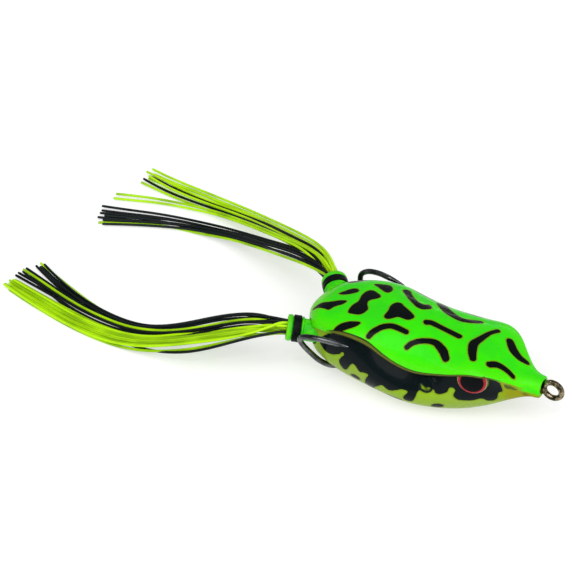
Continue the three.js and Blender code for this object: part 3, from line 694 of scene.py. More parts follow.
def mouth_slots(count):
    """Where the strands pass the sleeve's mouth, [across, up], from the outer side inward."""
    slots = []
    for k in range(count):
        radius = MOUTH_REACH * math.sqrt((k + 0.5) / count)
        angle = k * math.pi * (3 - math.sqrt(5))
        up = radius * math.sin(angle)
        slots.append((radius * math.cos(angle), up * (MOUTH_SQUASH if up > 0 else 1)))
    return sorted(slots)


def leg_axes(side):
    """The sleeve's axis, the horizontal direction across it that points inward, and up."""
    axis = np.array(RIGHT_LEG_DIRECTION if side < 0 else LEFT_LEG_DIRECTION)
    axis /= np.linalg.norm(axis)
    inward = np.cross([0, 0, 1], axis) * side
    inward /= np.linalg.norm(inward)
    if inward[1] * side > 0:
        inward = -inward
    upward = np.cross(axis, inward)
    upward *= np.sign(upward[2])
    return axis, inward, upward


def leg_point(side, along):
    centre = np.array([BAND_CENTRE[0], BAND_CENTRE[1] * side, BAND_CENTRE[2]])
    return centre + leg_axes(side)[0] * along


def first_lay(side, locks, rng):
    """Each strand's own route before the strands make room for each other."""
    _, inward, upward = leg_axes(side)
    slots = mouth_slots(sum(len(lock["strands"]) for lock in locks))
    lines, colours = [], []
    for lock in locks:
        route = np.array(lock["route"])
        count = len(lock["strands"])
        run = np.r_[0, np.cumsum(np.linalg.norm(np.diff(route, axis=0), axis=1))] / FAN_RUN
        ahead = np.gradient(route[:, :2], axis=0)
        ahead /= np.linalg.norm(ahead, axis=1)[:, None]
        inner = np.stack([ahead[:, 1], -ahead[:, 0]], 1) * side
        for k, colour in enumerate(lock["strands"]):
            place = k - (count - 1) / 2
            wander = rng.normal(0, WANDER, len(route)) * np.clip(run, 0.2, 1)
            fanned = np.clip(run - FAN_START, 0, 1) ** 2 * 3
            step = lock["spacing"] + (lock["fan"] - lock["spacing"]) * fanned
            shift = place * step + wander
            points = route.copy()
            points[:, :2] += inner * shift[:, None]
            points[:, 2] += rng.normal(0, RISE_SPREAD) * np.clip(1 - run, 0, 1) + LAYER_STEP * (k % 2)
            across, up = slots[len(lines)]
            start = [leg_point(side, s) + inward * across + upward * up for s in (MOUTH_START, MOUTH_END)]
            line = catmull([*start, *points], 200)
            kept = 1 - abs(rng.normal(0, LENGTH_SPREAD))
            lines.append(catmull(line[:int(200 * kept)][::4], STRAND_NODES))
            colours.append(colour)
    return np.array(lines), colours


def make_room(lines, rounds=160):
    """Pushes strands apart where they overlap, keeps them on the floor and each at its length."""
    target = lines.copy()
    points = lines.copy()
    count, nodes, _ = points.shape
    step = np.linalg.norm(np.diff(points, axis=1), axis=2).mean(1)
    held = np.ones(nodes)
    held[:2] = 0
    for turn in range(rounds):
        push = np.zeros_like(points)
        for shift in (-2, -1, 0, 1, 2):
            a = slice(max(0, -shift), nodes - max(0, shift))
            b = slice(max(0, shift), nodes - max(0, -shift))
            gap = points[:, None, a] - points[None, :, b]
            far = np.linalg.norm(gap, axis=3)
            far[np.arange(count), np.arange(count)] = 9
            short = np.clip(STRAND_DIAMETER * 1.02 - far, 0, None)
            push[:, a] += (gap * (short / np.maximum(far, 1e-6))[..., None]).sum(1) * PUSH_RATE
        bend = np.zeros_like(points)
        bend[:, 1:-1] = points[:, :-2] + points[:, 2:] - 2 * points[:, 1:-1]
        pull = (target - points) * (PULL_RATE if turn < rounds - FREE_ROUNDS else 0.0)
        push = np.clip(push, -PUSH_LIMIT, PUSH_LIMIT)
        points = points + (push + SMOOTH_RATE * bend + pull) * held[None, :, None]
        points[:, :, 2] = np.maximum(points[:, :, 2], REST_HEIGHT)
        for j in range(2, nodes):
            along = points[:, j] - points[:, j - 1]
            along *= (step / np.linalg.norm(along, axis=1))[:, None]
            points[:, j] = points[:, j - 1] + along
        points[:, :, 2] = np.maximum(points[:, :, 2], REST_HEIGHT)
    return points


# ---- painted pattern ----------------------------------------------------------------------
# Spots on the back in unrolled mm: (run along the body, run across the back from its middle).
# A blob is a closed outline; a stroke is (along, across, half width) down its middle.
BACK_BLOBS = [
    [(-25.4, 0.5), (-24.2, 2.2), (-22.9, 3.6), (-21.6, 3.8), (-20.6, 2.8), (-21.4, 1.6), (-23.4, 0.4)],
    [(-31.0, -6.8), (-29.0, -4.2), (-26.0, -3.3), (-23.6, -2.3), (-21.4, -2.0), (-21.8, -3.6),
     (-23.4, -4.8), (-24.4, -6.2), (-26.0, -5.9), (-28.4, -5.8)],
    [(-18.8, -6.0), (-19.1, -3.4), (-18.4, -1.2), (-18.9, 1.2), (-18.6, 3.4), (-17.2, 4.3),
     (-14.0, 2.6), (-14.4, 1.2), (-15.9, -0.3), (-15.4, -2.0), (-14.3, -3.6), (-15.0, -5.8), (-17.0, -6.3)],
    [(-18.6, 7.4), (-16.6, 8.2), (-14.4, 8.4), (-12.8, 6.8), (-12.8, 5.1), (-14.0, 4.8), (-16.4, 6.0)],
    [(-9.2, -4.4), (-9.2, -2.2), (-9.6, -0.2), (-9.0, 1.5), (-7.6, 1.8), (-5.8, 0.7), (-2.8, -0.7),
     (-2.0, -2.0), (-3.2, -3.3), (-5.6, -3.4), (-7.2, -4.8), (-8.4, -5.1)],
    [(-19.9, -12.2), (-19.0, -10.5), (-17.4, -9.3), (-15.4, -8.6), (-13.7, -8.5), (-14.2, -9.9),
     (-16.2, -11.4), (-18.6, -12.7)],
    [(-26.5, 7.0), (-25.6, 9.4), (-23.4, 10.6), (-22.0, 9.8), (-23.2, 8.2), (-24.8, 6.8)],
]
BACK_STROKES = [
    [(-9.4, 8.0, 1.00), (-6.9, 5.5, 0.80), (-4.4, 3.8, 0.88), (-2.5, 3.3, 1.15), (-1.2, 4.0, 1.10)],
    [(-9.9, -11.5, 0.72), (-9.3, -9.9, 0.84), (-7.6, -7.7, 0.86), (-5.4, -6.7, 0.82), (-1.6, -6.8, 0.74)],
    [(0.2, -10.5, 0.65), (1.2, -8.9, 0.71), (3.6, -7.2, 0.76), (6.6, -6.6, 0.92), (9.2, -7.8, 1.13),
     (10.9, -9.5, 0.95)],
    [(0.7, 8.2, 1.28), (3.0, 6.1, 1.20), (5.6, 4.8, 1.00), (8.8, 4.5, 0.82), (12.5, 6.6, 0.68)],
    [(1.6, -1.6, 1.00), (2.8, -1.2, 0.90), (6.4, -1.5, 0.85), (10.7, -1.8, 0.85)],
    [(17.8, 5.6, 0.66), (16.6, 3.4, 0.68), (15.7, 0.2, 0.94), (15.1, -2.3, 1.20), (16.0, -4.9, 1.1),
     (17.2, -6.9, 0.85)],
    [(21.7, 4.7, 1.00), (23.4, 3.0, 1.20), (25.4, 2.3, 1.00), (27.4, 2.6, 0.70)],
    [(21.2, -5.9, 0.82), (22.6, -4.5, 0.88), (24.8, -3.9, 0.75), (26.7, -4.0, 0.62)],
    [(-9.0, 12.6, 0.60), (-6.4, 11.0, 0.72), (-3.0, 10.6, 0.68), (-0.6, 11.6, 0.60)],
    [(4.6, 12.4, 0.60), (6.6, 10.6, 0.75), (9.4, 10.2, 0.80), (12.0, 11.2, 0.65)],
]
# The flanks' dark band in (run along the body, run down from the lip): its lower edge.
BAND_EDGE = [
    (-24.6, 4.6), (-22.4, 6.6), (-20.0, 7.1), (-18.0, 6.6), (-17.0, 5.9),
    (-16.4, 6.4), (-17.7, 8.0), (-17.8, 9.3), (-16.6, 11.2), (-15.4, 10.6), (-14.0, 8.4), (-12.8, 8.3),
    (-11.6, 9.6), (-10.4, 9.3), (-8.8, 8.9), (-9.6, 10.8), (-10.2, 13.4), (-8.6, 14.6), (-7.4, 12.4),
    (-6.0, 10.2), (-4.6, 8.8), (-3.6, 9.1), (-2.4, 8.8), (-0.8, 7.6), (0.8, 6.6), (2.4, 6.6),
    (1.3, 8.6), (1.4, 9.8), (3.2, 9.7), (4.4, 8.0), (5.0, 6.1), (5.6, 5.6), (7.2, 6.2), (8.4, 5.9),
    (9.0, 5.2), (9.6, 6.4), (10.8, 6.8), (12.3, 6.4), (12.9, 5.2), (13.9, 5.6), (14.3, 6.5),
    (13.9, 7.8), (14.8, 9.4), (16.4, 10.3), (18.4, 10.4), (20.6, 9.2), (21.6, 9.6), (22.8, 9.3),
    (23.8, 7.6), (24.2, 5.4), (25.0, 4.2), (24.7, 1.8), (24.2, 0.2), (23.6, -1.5),
]
# Its way back, above the lip.
BAND_RETURN = [(-10, -3), (-15, -3), (-18.6, -1.5), (-21.0, 0.8), (-24.2, 2.9)]
BELLY_BLOBS = [
    [(-14.6, 12.4), (-13.0, 11.6), (-11.6, 12.4), (-12.4, 13.6), (-14.2, 13.4)],
    [(-4.4, 12.2), (-2.6, 11.3), (-0.4, 10.5), (0.6, 11.2), (-0.8, 12.4), (-3.2, 12.8)],
    [(8.2, 10.8), (9.7, 9.9), (11.4, 10.8), (10.6, 12.0), (8.8, 12.0)],
    [(-22.0, 12.0), (-20.6, 11.4), (-19.2, 12.4), (-20.2, 13.6), (-21.8, 13.2)],
]
MIRROR_SHIFT = 1.1
# The band on the lip in (run along the body, width), with its painted catch light and shade: it lies on the
# back's side of the ridge.
LIP_BAND_WIDTH = [(-24, 0.3), (-18, 1.2), (-10, 1.5), (-2, 1.1), (6, 0.7), (12, 0.5), (20, 0.45), (24, 0.3)]
# Middle of the painted nostril shade in (run along the body, run down from the lip).
NOSTRIL_SHADE_CENTRE = (30.0, 2.2)
WEDGE = [(25.7, 1.0), (28.0, 1.3), (27.9, 1.7), (26.6, 2.4), (25.6, 2.6)]


def rounded_outline(points):
    """The closed outline as a smooth curve."""
    p = np.array(points, float)
    t = np.linspace(0, 1, 8, endpoint=False)[:, None]
    parts = []
    for k in range(len(p)):
        parts.append(spline(*(p[(k + j) % len(p)] for j in (-1, 0, 1, 2)), t))
    return np.vstack(parts)


def to_segment(q, p0, p1):
    """For points, how far along a segment the nearest place is, from 0 to 1, and its distance."""
    edge = p1 - p0
    t = np.clip((q - p0) @ edge / (edge @ edge), 0, 1)
    return t, np.linalg.norm(q - p0 - t[:, None] * edge, axis=1)


def blob_distance(q, outline):
    """Signed distance in mm to a closed outline, below zero inside."""
    a = rounded_outline(outline)
    b = np.roll(a, -1, axis=0)
    nearest = np.full(len(q), 1e9)
    inside = np.zeros(len(q), bool)
    for p0, p1 in zip(a, b):
        nearest = np.minimum(nearest, to_segment(q, p0, p1)[1])
        crosses = (p0[1] > q[:, 1]) != (p1[1] > q[:, 1])
        slope = (p1[0] - p0[0]) / (p1[1] - p0[1] if p1[1] != p0[1] else 1e-9)
        inside ^= crosses & (q[:, 0] < p0[0] + (q[:, 1] - p0[1]) * slope)
    return np.where(inside, -nearest, nearest)


def stroke_distance(q, stroke):
    """Signed distance in mm to a brush stroke of changing width."""
    fine = catmull([(a, b, w) for a, b, w in stroke], 30)
    nearest = np.full(len(q), 1e9)
    for p0, p1 in zip(fine, fine[1:]):
        t, reach = to_segment(q, p0[:2], p1[:2])
        nearest = np.minimum(nearest, reach - (p0[2] + (p1[2] - p0[2]) * t))
    return nearest


def painted(piece):
    """Gives the body the numbers that its material paints from."""
    points = corners(piece)
    along, across, down, off = unrolled(points)
    left = across > 0
    back = np.stack([along, across], 1)
    spots = np.full(len(points), 1e3)
    for outline in BACK_BLOBS:
        spots = np.minimum(spots, blob_distance(back, outline))
    for stroke in BACK_STROKES:
        spots = np.minimum(spots, stroke_distance(back, stroke))
    shift = np.where(left, MIRROR_SHIFT, 0) * np.clip((8 - along) / 10, 0, 1)
    flank = np.stack([along + shift, down], 1)
    ink = blob_distance(flank, BAND_EDGE + BAND_RETURN)
    for outline in BELLY_BLOBS:
        ink = np.minimum(ink, blob_distance(flank, outline))
    give(piece, "spots", spots)
    give(piece, "ink", ink)
    give(piece, "lip", down)
    # How far down towards the belly, for the painted floor reflection.
    give(piece, "low", np.clip((down - 6) / 7, 0, 1) * 0.8)
    give(piece, "inside", np.clip((off - 0.45) / 0.1, 0, 1))
    give(piece, "aft", np.clip((-25 - along) / 9, 0, 1))
    give(piece, "snout", np.clip((along - 23.5) / 3, 0, 1))
    give(piece, "cheek", np.clip((along - 27.8) / 2.2, 0, 1) * np.clip((1.9 - down) / 1.1, 0, 1))
    # Distance to the painted nostril shade, squeezed along the body.
    give(piece, "nostril_shade", np.hypot((along - NOSTRIL_SHADE_CENTRE[0]) * 0.75, down - NOSTRIL_SHADE_CENTRE[1]))
    give(piece, "wedge", blob_distance(flank, WEDGE))
    ahead, under = along - TYMPANUM[0], down - TYMPANUM[1]
    crescent = np.clip(1.2 - np.abs(np.hypot(ahead, under) - 1.25) / 0.28, 0, 1)
    give(piece, "ear", crescent * np.clip((under - 0.35 * ahead - 0.5) / 0.3, 0, 1) * 0.85)
    # Where the lip band lies, with its painted catch light and shade.
    width = np.maximum(np.interp(along, *np.array(LIP_BAND_WIDTH).T), 0.2)
    give(piece, "band", (down + width) / width)
    give(piece, "rim", np.clip((along + 22.5) / 2.5, 0, 1) * np.clip((25.5 - along) / 3, 0, 1))


# ---- moulded body -------------------------------------------------------------------------
BEAD = 0.22
NOSE_SOFTENING = 0.4
EYE_RING_CENTRE = (35.85, 0, 11.3)
EYE_RING_RADIUS = 2.35
WIRE_RADIUS = 0.75
NOSE_HOLE_Z = 11.45
GROOVE_CLEARANCE = 0.5
CAST_CLEARANCE = 0.03
NOSE_HOLE = (3.5, 4.05)
BROW_GAP = 0.3
HOOK_ROUTE = [
    (33.5, 0.7, 11.3), (30, 0.7, 11.2), (22, 0.7, 9.8), (12, 0.7, 6.9), (2, 0.7, 4.2),
    (-8, 0.75, 2.8), (-16, 1.0, 1.9), (-20.0, 4.2, 1.35), (-22.7, 8.2, 2.4), (-24.5, 11.2, 5.3),
    (-26.0, 13.4, 9.0), (-27.3, 15.0, 12.4), (-27.4, 15.8, 14.8), (-25.4, 16.1, 16.3),
    (-22.2, 16.0, 16.9), (-18.8, 15.5, 16.9),
]
HOOK_TIP = (-13.7, 14.8, 16.6)
HOOK_ROLL = 1.5
SLOT = (-19, 7, 6.2)
EYE_CENTRE = (18.2, 8.7, 14.6)
EYE_RADIUS = 3.8
EYE_YAW = 16
EYE_UPTILT = 4
EYE_TOP_Z = 17.0
SOCKET_RADIUS = 4.1
SOCKET_FLOOR = -0.3
DISC_TOP = 0.85
LENS_RADIUS = 3.66
EYE_SEGMENTS = 96
DOME_HEIGHT = 0.95
LEG_HOLE_RADIUS = 3.3
TYMPANUM = (7.1, 3.9)
NOSTRIL = (30.3, -0.1)


def mirrored(point, side):
    return np.array([point[0], point[1] * side, point[2]])


def loft_piece(name, rings, pole, end):
    """Closed skin through equal rings of points, from a point to a flat end."""
    n = rings.shape[1]
    points = np.vstack([[pole], rings.reshape(-1, 3), [end]])
    faces = [(0, 1 + (k + 1) % n, 1 + k) for k in range(n)]
    faces += ring_faces(len(rings), n, start=1)
    last = 1 + (len(rings) - 1) * n
    faces += [(len(points) - 1, last + k, last + (k + 1) % n) for k in range(n)]
    return solid(name, points, faces)


def closed_rings(x, y, z, scale, centre_z):
    """Whole sections from half ones, drawn in towards the middle by a scale at each station."""
    right = np.stack([-y, z], 2)
    left = np.stack([y[:, 1:-1], z[:, 1:-1]], 2)[:, ::-1]
    whole = np.concatenate([right, left], 1)
    yy = whole[:, :, 0] * scale[:, None]
    zz = centre_z[:, None] + (whole[:, :, 1] - centre_z[:, None]) * scale[:, None]
    return np.stack([np.broadcast_to(x[:, None], yy.shape), yy, zz], 2)


def body_skin():
    """The outer skin with its lip rounded to a bead, ear discs, nostrils and a softened nose."""
    back_steps, lip_steps, flank_steps = 46, 8, 46
    rear = REAR_X + REAR_ROUNDING * (1 - np.cos(np.linspace(0, math.pi / 2, 27)[1:]))
    x = np.r_[rear, np.linspace(REAR_X + REAR_ROUNDING, NOSE_X - NOSE_SOFTENING, 172)[1:],
              NOSE_X - NOSE_SOFTENING * (1 - np.sin(np.linspace(0, math.pi / 2, 6)[1:]))]
    y, z = outer_half(x, back_steps, lip_steps, flank_steps)
    t = np.linspace(0, 1, lip_steps + 1)[None]
    lip = slice(back_steps, back_steps + lip_steps + 1)
    share = np.clip((27 - x) / 6, 0, 1)[:, None] * np.clip((x + 27) / 8, 0, 1)[:, None]
    y[:, lip] += BEAD * np.sin(math.pi * t) * share
    scale = rear_scale(x)
    soft = np.clip((x - NOSE_X + NOSE_SOFTENING) / NOSE_SOFTENING, 0, 1)
    scale = scale * (1 - 0.12 * (1 - np.sqrt(1 - soft**2)))
    centre = np.where(x > 0, EYE_RING_CENTRE[2], REAR_CENTRE_Z)
    rings = closed_rings(x, y, z, scale, centre)
    shape = rings.shape
    flat = rings.reshape(-1, 3)
    along, _, down, _ = unrolled(flat)
    du, dv = np.gradient(rings, axis=0), np.roll(rings, -1, 1) - np.roll(rings, 1, 1)
    normal = np.cross(du, dv).reshape(-1, 3)
    normal /= np.maximum(np.linalg.norm(normal, axis=1), 1e-9)[:, None]
    normal *= np.sign((normal * (flat - [0, 0, 11.5])).sum(1))[:, None]
    reach = np.hypot(along - TYMPANUM[0], down - TYMPANUM[1])
    ear = 0.30 * np.exp(-((reach - 1.75) / 0.30) ** 2) + 0.16 * np.clip(1 - (reach / 1.5) ** 2, 0, 1)
    nostril = np.hypot(along - NOSTRIL[0], (down - NOSTRIL[1]) * 0.8)
    dent = -0.42 * np.exp(-(nostril / 0.55) ** 2)
    mark = np.hypot((along - 27.4) * 0.8, down - 1.7)
    dent += -0.14 * np.exp(-((mark - 0.8) / 0.28) ** 2)
    flat = flat + normal * (ear + dent)[:, None]
    return loft_piece("body_shell_skin", flat.reshape(shape), (REAR_X, 0, REAR_CENTRE_Z),
                      (NOSE_X, 0, EYE_RING_CENTRE[2]))


def body_hollow():
    steps = 26
    rear, front = REAR_X + WALL, NOSE_X - 4
    radius = REAR_ROUNDING - WALL
    x = np.r_[rear + radius * (1 - np.cos(np.linspace(0, math.pi / 2, 9)[1:])),
              np.linspace(rear + radius, front, 40)[1:]]
    half = np.minimum(curve(RIDGE_HALF_WIDTH, x) - curve(GROOVE_DEPTH, x), curve(BELLY_HALF_WIDTH, x)) - WALL
    top, bottom = curve(BACK_HEIGHT, x) - WALL, curve(BELLY_HEIGHT, x) + WALL
    middle = np.minimum(curve(RIDGE_HEIGHT, x), (top + bottom) / 2 + 1)
    a = np.linspace(0, math.pi, steps)[None]
    c = np.cos(a)
    y = half[:, None] * np.clip(np.sin(a), 0, 1) ** 0.85
    z = middle[:, None] + np.where(c > 0, (top - middle)[:, None] * c, (middle - bottom)[:, None] * c)
    rings = closed_rings(x, y, z, rear_scale(x, rear, radius), np.full(len(x), REAR_CENTRE_Z))
    return loft_piece("hollow", rings, (rear, 0, REAR_CENTRE_Z), (front, 0, curve(RIDGE_HEIGHT, front)[0]))


def stadium(length, width, steps=14):
    r = min(length, width) / 2
    outline = []
    for cx, cy, start in ((length / 2 - r, width / 2 - r, 0), (r - length / 2, width / 2 - r, 90),
                          (r - length / 2, r - width / 2, 180), (length / 2 - r, r - width / 2, 270)):
        for k in range(steps + 1):
            a = math.radians(start + 90 * k / steps)
            outline.append((cx + r * math.cos(a), cy + r * math.sin(a)))
    kept = []
    for p in outline:
        if not kept or math.dist(p, kept[-1]) > 1e-6:
            kept.append(p)
    return kept[:-1] if math.dist(kept[0], kept[-1]) < 1e-6 else kept


def prism(name, outlines):
    """Closed solid through equal outlines of 3-D points, capped at both ends."""
    n = len(outlines[0])
    points = [p for outline in outlines for p in outline]
    last = (len(outlines) - 1) * n
    caps = [tuple(range(n))[::-1], tuple(range(last, last + n))]
    return solid(name, points, caps + ring_faces(len(outlines), n))


def turned_piece(name, profile, segments, origin, axis, closed=True):
    """Solid from an outline of (radius, distance along the axis) turned about the axis."""
    axis = np.asarray(axis, float) / np.linalg.norm(axis)
    across = np.cross([0, 0, 1.0], axis)
    across /= np.linalg.norm(across)
    over = np.cross(axis, across)
    points, faces = [], []
    n = len(profile)
    for k in range(segments):
        a = 2 * math.pi * k / segments
        spoke = across * math.cos(a) + over * math.sin(a)
        points += [np.asarray(origin) + axis * s + spoke * r for r, s in profile]
        m = (k + 1) % segments
        for i in range(n if closed else n - 1):
            j = (i + 1) % n
            faces.append((k * n + i, k * n + j, m * n + j, m * n + i))
    return solid(name, np.array(points), faces, merged=1e-7)


def eye_axis(side):
    yaw, tilt = math.radians(EYE_YAW), math.radians(EYE_UPTILT)
    return np.array([math.sin(yaw) * math.cos(tilt), side * math.cos(yaw) * math.cos(tilt), math.sin(tilt)])


def trimmed(piece, top_z):
    """Keeps what lies below a height, closed with a flat face."""
    work = bmesh.new()
    work.from_mesh(piece.data)
    cut = bmesh.ops.bisect_plane(work, geom=work.verts[:] + work.edges[:] + work.faces[:], dist=1e-7,
                                 plane_co=(0, 0, top_z * MM), plane_no=(0, 0, 1), clear_outer=True)
    edges = [e for e in cut["geom_cut"] if isinstance(e, bmesh.types.BMEdge)]
    bmesh.ops.holes_fill(work, edges=[e for e in edges if e.is_boundary])
    bmesh.ops.recalc_face_normals(work, faces=work.faces)
    work.to_mesh(piece.data)
    work.free()
    return piece


def eye_solid(name, side, radius, bottom, top, segments=72):
    profile = [(0, bottom), (radius, bottom), (radius, top), (0, top)]
    return turned_piece(name, profile, segments, mirrored(EYE_CENTRE, side), eye_axis(side), closed=False)


def hook_point(point, side):
    """The hook sits slightly rolled: its right point stands higher than its left one."""
    return mirrored(point, side) + [0, 0, -side * point[1] * math.sin(math.radians(HOOK_ROLL))]


def hook_line(side, samples=420):
    return catmull([hook_point(p, side) for p in HOOK_ROUTE], samples)


def wire_room(side, clearance):
    """The space round one side's wire."""
    points, faces, _ = tube_mesh(hook_line(side, 160), WIRE_RADIUS + clearance, 24)
    return solid("room", points, faces)


def body_shell():
    shell = body_skin()
    lip_z = float(curve(RIDGE_HEIGHT, EYE_CENTRE[0])[0]) - LIP_DROP
    for side in (-1, 1):
        for name, top, trim_z in (("mouth", 7, lip_z), ("pocket", 2.15, EYE_TOP_Z + BROW_GAP)):
            carve(shell, [trimmed(eye_solid(name, side, SOCKET_RADIUS, SOCKET_FLOOR, top), trim_z)])
    carve(shell, [body_hollow()])
    for side in (-1, 1):
        seat = trimmed(eye_solid("seat", side, SOCKET_RADIUS + 0.9, -1.6, SOCKET_FLOOR), EYE_TOP_Z + 0.8)
        carve(shell, [seat], "UNION")
        axis = leg_axes(side)[0]
        hole = [(0, -11), (LEG_HOLE_RADIUS, -11), (LEG_HOLE_RADIUS, 2), (0, 2)]
        carve(shell, [turned_piece("hole", hole, 72, leg_point(side, 0), axis, closed=False)])
        carve(shell, [wire_room(side, GROOVE_CLEARANCE)])
    hole = stadium(*NOSE_HOLE)
    nose = [[(x, y, NOSE_HOLE_Z + z) for y, z in hole] for x in (NOSE_X - 7, NOSE_X + 1)]
    carve(shell, [prism("nose", nose)])
    rear, front, width = SLOT
    outline = stadium(front - rear, width)
    slot = [[((front + rear) / 2 + x, y, z) for x, y in outline] for z in (-1.5, 4.5)]
    carve(shell, [prism("slot", slot)])
    painted(shell)
    sharpen(shell, 42)
    settle(shell, body_material(), "body_shell", "shell")


# ---- eyes ---------------------------------------------------------------------------------
def eyes():
    paint, metal = eye_material(), rim_material()
    for side, word in ((-1, "right"), (1, "left")):
        centre, axis = mirrored(EYE_CENTRE, side), eye_axis(side)
        profile = rounded([(0.05, 0), (EYE_RADIUS, 0), (EYE_RADIUS, 0.98), (3.62, 0.98), (3.62, 0.84),
                           (0.05, 0.84)], 0.12)
        disc = trimmed(turned_piece(word + "_eye_rim", profile, EYE_SEGMENTS, centre, axis), EYE_TOP_Z)
        sharpen(disc, 45)
        settle(disc, metal, word + "_eye_disc", "shell")
        dome = [(LENS_RADIUS * math.cos(a), 1.0 + DOME_HEIGHT * math.sin(a) ** 0.9)
                for a in np.linspace(0, math.pi / 2, 40)]
        dome = [(0, DISC_TOP + 0.01), (LENS_RADIUS, DISC_TOP + 0.01), *dome[:-1], (0, dome[-1][1])]
        lens = turned_piece(word + "_eye_dome", dome, EYE_SEGMENTS, centre, axis, closed=False)
        lens = trimmed(lens, EYE_TOP_Z)
        reach = corners(lens) - centre
        give(lens, "ring", np.linalg.norm(reach - np.outer(reach @ axis, axis), axis=1) / EYE_RADIUS)
        sharpen(lens, 45)
        settle(lens, paint, word + "_eye_lens", "shell")


# ---- double hook and keel weight ----------------------------------------------------------
RING_STEPS = 96
WIRE_SIDES = 20
NEEDLE_STEPS = 50
# The barb: how far behind the tip it starts, its length and its root's radius.
BARB_START = 2.6
BARB_LENGTH = 1.5
BARB_RADIUS = 0.34
BARB_STEPS = 12
# Rear end, front end, width, top and bevel.
KEEL = (-16.5, 1.5, 5.0, 5.6, 0.7)
FOOT_BEVEL = 0.25


def double_hook():
    parts = []
    turn = np.arange(RING_STEPS) * 2 * math.pi / RING_STEPS
    ring = np.array(EYE_RING_CENTRE) + EYE_RING_RADIUS * np.stack([np.cos(turn), 0 * turn, np.sin(turn)], 1)
    points, faces = [], []
    for k, p in enumerate(ring):
        here, ahead = k * WIRE_SIDES, (k + 1) % RING_STEPS * WIRE_SIDES
        outdir = (p - EYE_RING_CENTRE) / EYE_RING_RADIUS
        for j in range(WIRE_SIDES):
            a = 2 * math.pi * j / WIRE_SIDES
            points.append(p + WIRE_RADIUS * (outdir * math.cos(a) + np.array([0, 1, 0]) * math.sin(a)))
            n = (j + 1) % WIRE_SIDES
            faces.append((here + j, here + n, ahead + n, ahead + j))
    parts.append((points, faces))
    for side in (-1, 1):
        line = hook_line(side)
        tip = hook_point(HOOK_TIP, side)
        t = np.linspace(0, 1, NEEDLE_STEPS)[1:]
        needle = line[-1] + (tip - line[-1]) * t[:, None]
        whole = np.vstack([line, needle])
        point = WIRE_RADIUS * (1 - t) ** 0.62 + 0.02
        taper = np.r_[np.full(len(line), WIRE_RADIUS), point]
        points, faces, _ = tube_mesh(whole, taper, WIRE_SIDES)
        parts.append((points, faces))
        back = (line[-1] - tip) / np.linalg.norm(line[-1] - tip)
        root = tip + back * BARB_START
        down = np.array([0, side * 0.25, -0.97])
        barb = [root + back * s + down * (0.30 + 0.42 * s) for s in np.linspace(0, BARB_LENGTH, BARB_STEPS)]
        points, faces, _ = tube_mesh(barb, np.linspace(BARB_RADIUS, 0.03, BARB_STEPS), 10)
        parts.append((points, faces))
    points, faces, _ = joined(parts)
    hook = solid("double_hook_wire", points, faces)
    give(hook, "forward", corners(hook)[:, 0])
    sharpen(hook, 50)
    settle(hook, hook_material(), "double_hook", "hook_and_weight")


def keel_weight():
    rear, front, width, top, bevel = KEEL
    outlines = []
    for t in np.linspace(0, 1, 7):
        draw_in = 0.0 if t == 0 else bevel * (1 - math.cos(math.pi / 2 * t))
        z = top - bevel + bevel * math.sin(math.pi / 2 * t)
        shape = stadium(front - rear - 2 * draw_in, width - 2 * draw_in, 12)
        outlines.append([((front + rear) / 2 + x, y, z) for x, y in shape])
    base = stadium(front - rear - 2 * FOOT_BEVEL, width - 2 * FOOT_BEVEL, 12)
    full = stadium(front - rear, width, 12)
    outlines = [[((front + rear) / 2 + x, y, 0.0) for x, y in base],
                [((front + rear) / 2 + x, y, FOOT_BEVEL) for x, y in full], *outlines]
    weight = prism("keel_weight_cast", outlines)
    for side in (-1, 1):
        carve(weight, [wire_room(side, CAST_CLEARANCE)])
    sharpen(weight, 40)
    settle(weight, lead_material(), "keel_weight", "hook_and_weight")


# ---- legs ---------------------------------------------------------------------------------
# Outlines of (radius, distance along the leg from the band's middle); the sleeve's mouth flares.
SLEEVE_OUTLINE = [
    (2.3, -7.0), (2.9, -7.0), (2.9, -1.75), (3.3, -1.7), (3.34, -1.22), (2.95, -1.17), (2.95, 1.17),
    (3.38, 1.25), (3.5, 1.65), (3.46, 2.1), (3.3, 2.5), (3.05, 2.6), (2.55, 1.7), (2.3, 0.8),
]
BAND_OUTLINE = [
    (3.02, -1.05), (3.52, -1.05), (3.56, -0.4), (3.50, 0.0), (3.56, 0.4), (3.52, 1.05), (3.02, 1.05),
]
LEG_SEGMENTS = 80
MOUTH_TINT_START = 1.2
MOUTH_TINT_RUN = 1.2
# The hidden strands' way from one sleeve to the other, inside the body's tail.
BRIDGE_MIDDLE = [(-23.5, -3.4, 13.2), (-22.6, 0, 13.2), (-23.5, 3.4, 13.2)]
BRIDGE_REACH = (-3.4, -6.4)
BUNDLE_RADIUS = 0.82
BUNDLE_TWIST = 2.2


def legs():
    vinyl, rubber = sleeve_material(), rubber_material()
    for side, word in ((-1, "right"), (1, "left")):
        origin, axis = leg_point(side, 0), leg_axes(side)[0]
        sleeve = turned_piece(word + "_leg_sleeve_vinyl", rounded(SLEEVE_OUTLINE, 0.3), LEG_SEGMENTS,
                              origin, axis)
        run = (corners(sleeve) - origin) @ axis
        give(sleeve, "mouth", np.clip((run - MOUTH_TINT_START) / MOUTH_TINT_RUN, 0, 1))
        sharpen(sleeve, 45)
        settle(sleeve, vinyl, word + "_leg_sleeve", word + "_leg")
        band = turned_piece(word + "_leg_band_rubber", rounded(BAND_OUTLINE, 0.28), LEG_SEGMENTS,
                            origin, axis)
        sharpen(band, 45)
        settle(band, rubber, word + "_leg_band", word + "_leg")


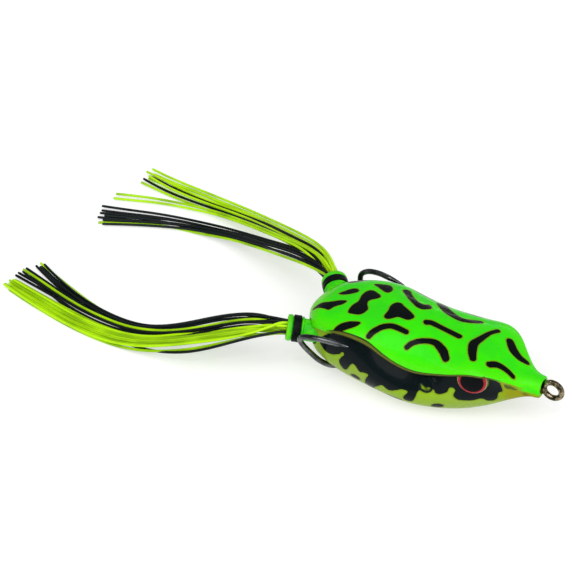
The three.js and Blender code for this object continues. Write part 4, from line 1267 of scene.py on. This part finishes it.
def strand_bridge():
    ends = {side: [leg_point(side, s) for s in BRIDGE_REACH] for side in (-1, 1)}
    line = catmull([*ends[-1], *BRIDGE_MIDDLE, *ends[1][::-1]], 60)
    across, over = ring_frames(line)
    parts = []
    for k in range(7):
        reach = 0 if k == 6 else BUNDLE_RADIUS
        angle = k * math.pi / 3 + np.linspace(0, BUNDLE_TWIST, len(line))
        shifted = line + reach * (np.cos(angle)[:, None] * across + np.sin(angle)[:, None] * over)
        parts.append(tube_mesh(shifted, STRAND_RADIUS, STRAND_SIDES))
    points, faces, along = joined(parts)
    bundle = solid("strand_bridge_bundle", points, faces)
    give(bundle, "tone", 0.4 + 0.3 * np.sin(along))
    settle(bundle, STRAND_FINISH[GREEN], "strand_bridge", "shell")


def strands():
    for side, word, locks in ((-1, "right", RIGHT_LOCKS), (1, "left", LEFT_LOCKS)):
        rng = np.random.default_rng(SEED + 2 * side)
        lines, colours = first_lay(side, locks, rng)
        lines = make_room(lines)
        greens, blacks = 0, 0
        for k, (line, colour) in enumerate(zip(lines, colours)):
            route = catmull(line, STRAND_ROUTE_POINTS)
            smooth = catmull(route, STRAND_RINGS)
            radius = np.full(len(smooth), STRAND_RADIUS)
            radius[-1] *= 0.86
            points, faces, along = tube_mesh(smooth, radius, STRAND_SIDES)
            strand = solid(f"{word}_strand_{k + 1:02d}", points, faces)
            give(strand, "tone", rng.uniform(0.2, 0.8) + 0.12 * np.sin(along * 0.35 + rng.uniform(0, 6)))
            sharpen(strand, 50)
            # CAD locks 1 to 3 stand for the green strands, 4 and 5 for the black ones.
            if colour == GREEN:
                lock = 1 + min(greens // 4, 2)
                greens += 1
            else:
                lock = 4 + min(blacks // 5, 1)
                blacks += 1
            node = f"{word}_strand_lock_{lock}"
            settle(strand, STRAND_FINISH[colour], node, word + "_strands")


# ---- assembly -----------------------------------------------------------------------------
studio()
STRAND_FINISH = {
    GREEN: strand_material("chartreuse_silicone", (0.22, 0.43, 0.002),
                           (0.44, 0.78, 0.004), (0.64, 0.84, 0.05)),
    BLACK: strand_material("black_silicone", (0.0015, 0.0035, 0.0035),
                           (0.0060, 0.0105, 0.0110), (0.02, 0.03, 0.03)),
}
strands()
strand_bridge()
body_shell()
eyes()
double_hook()
keel_weight()
legs()
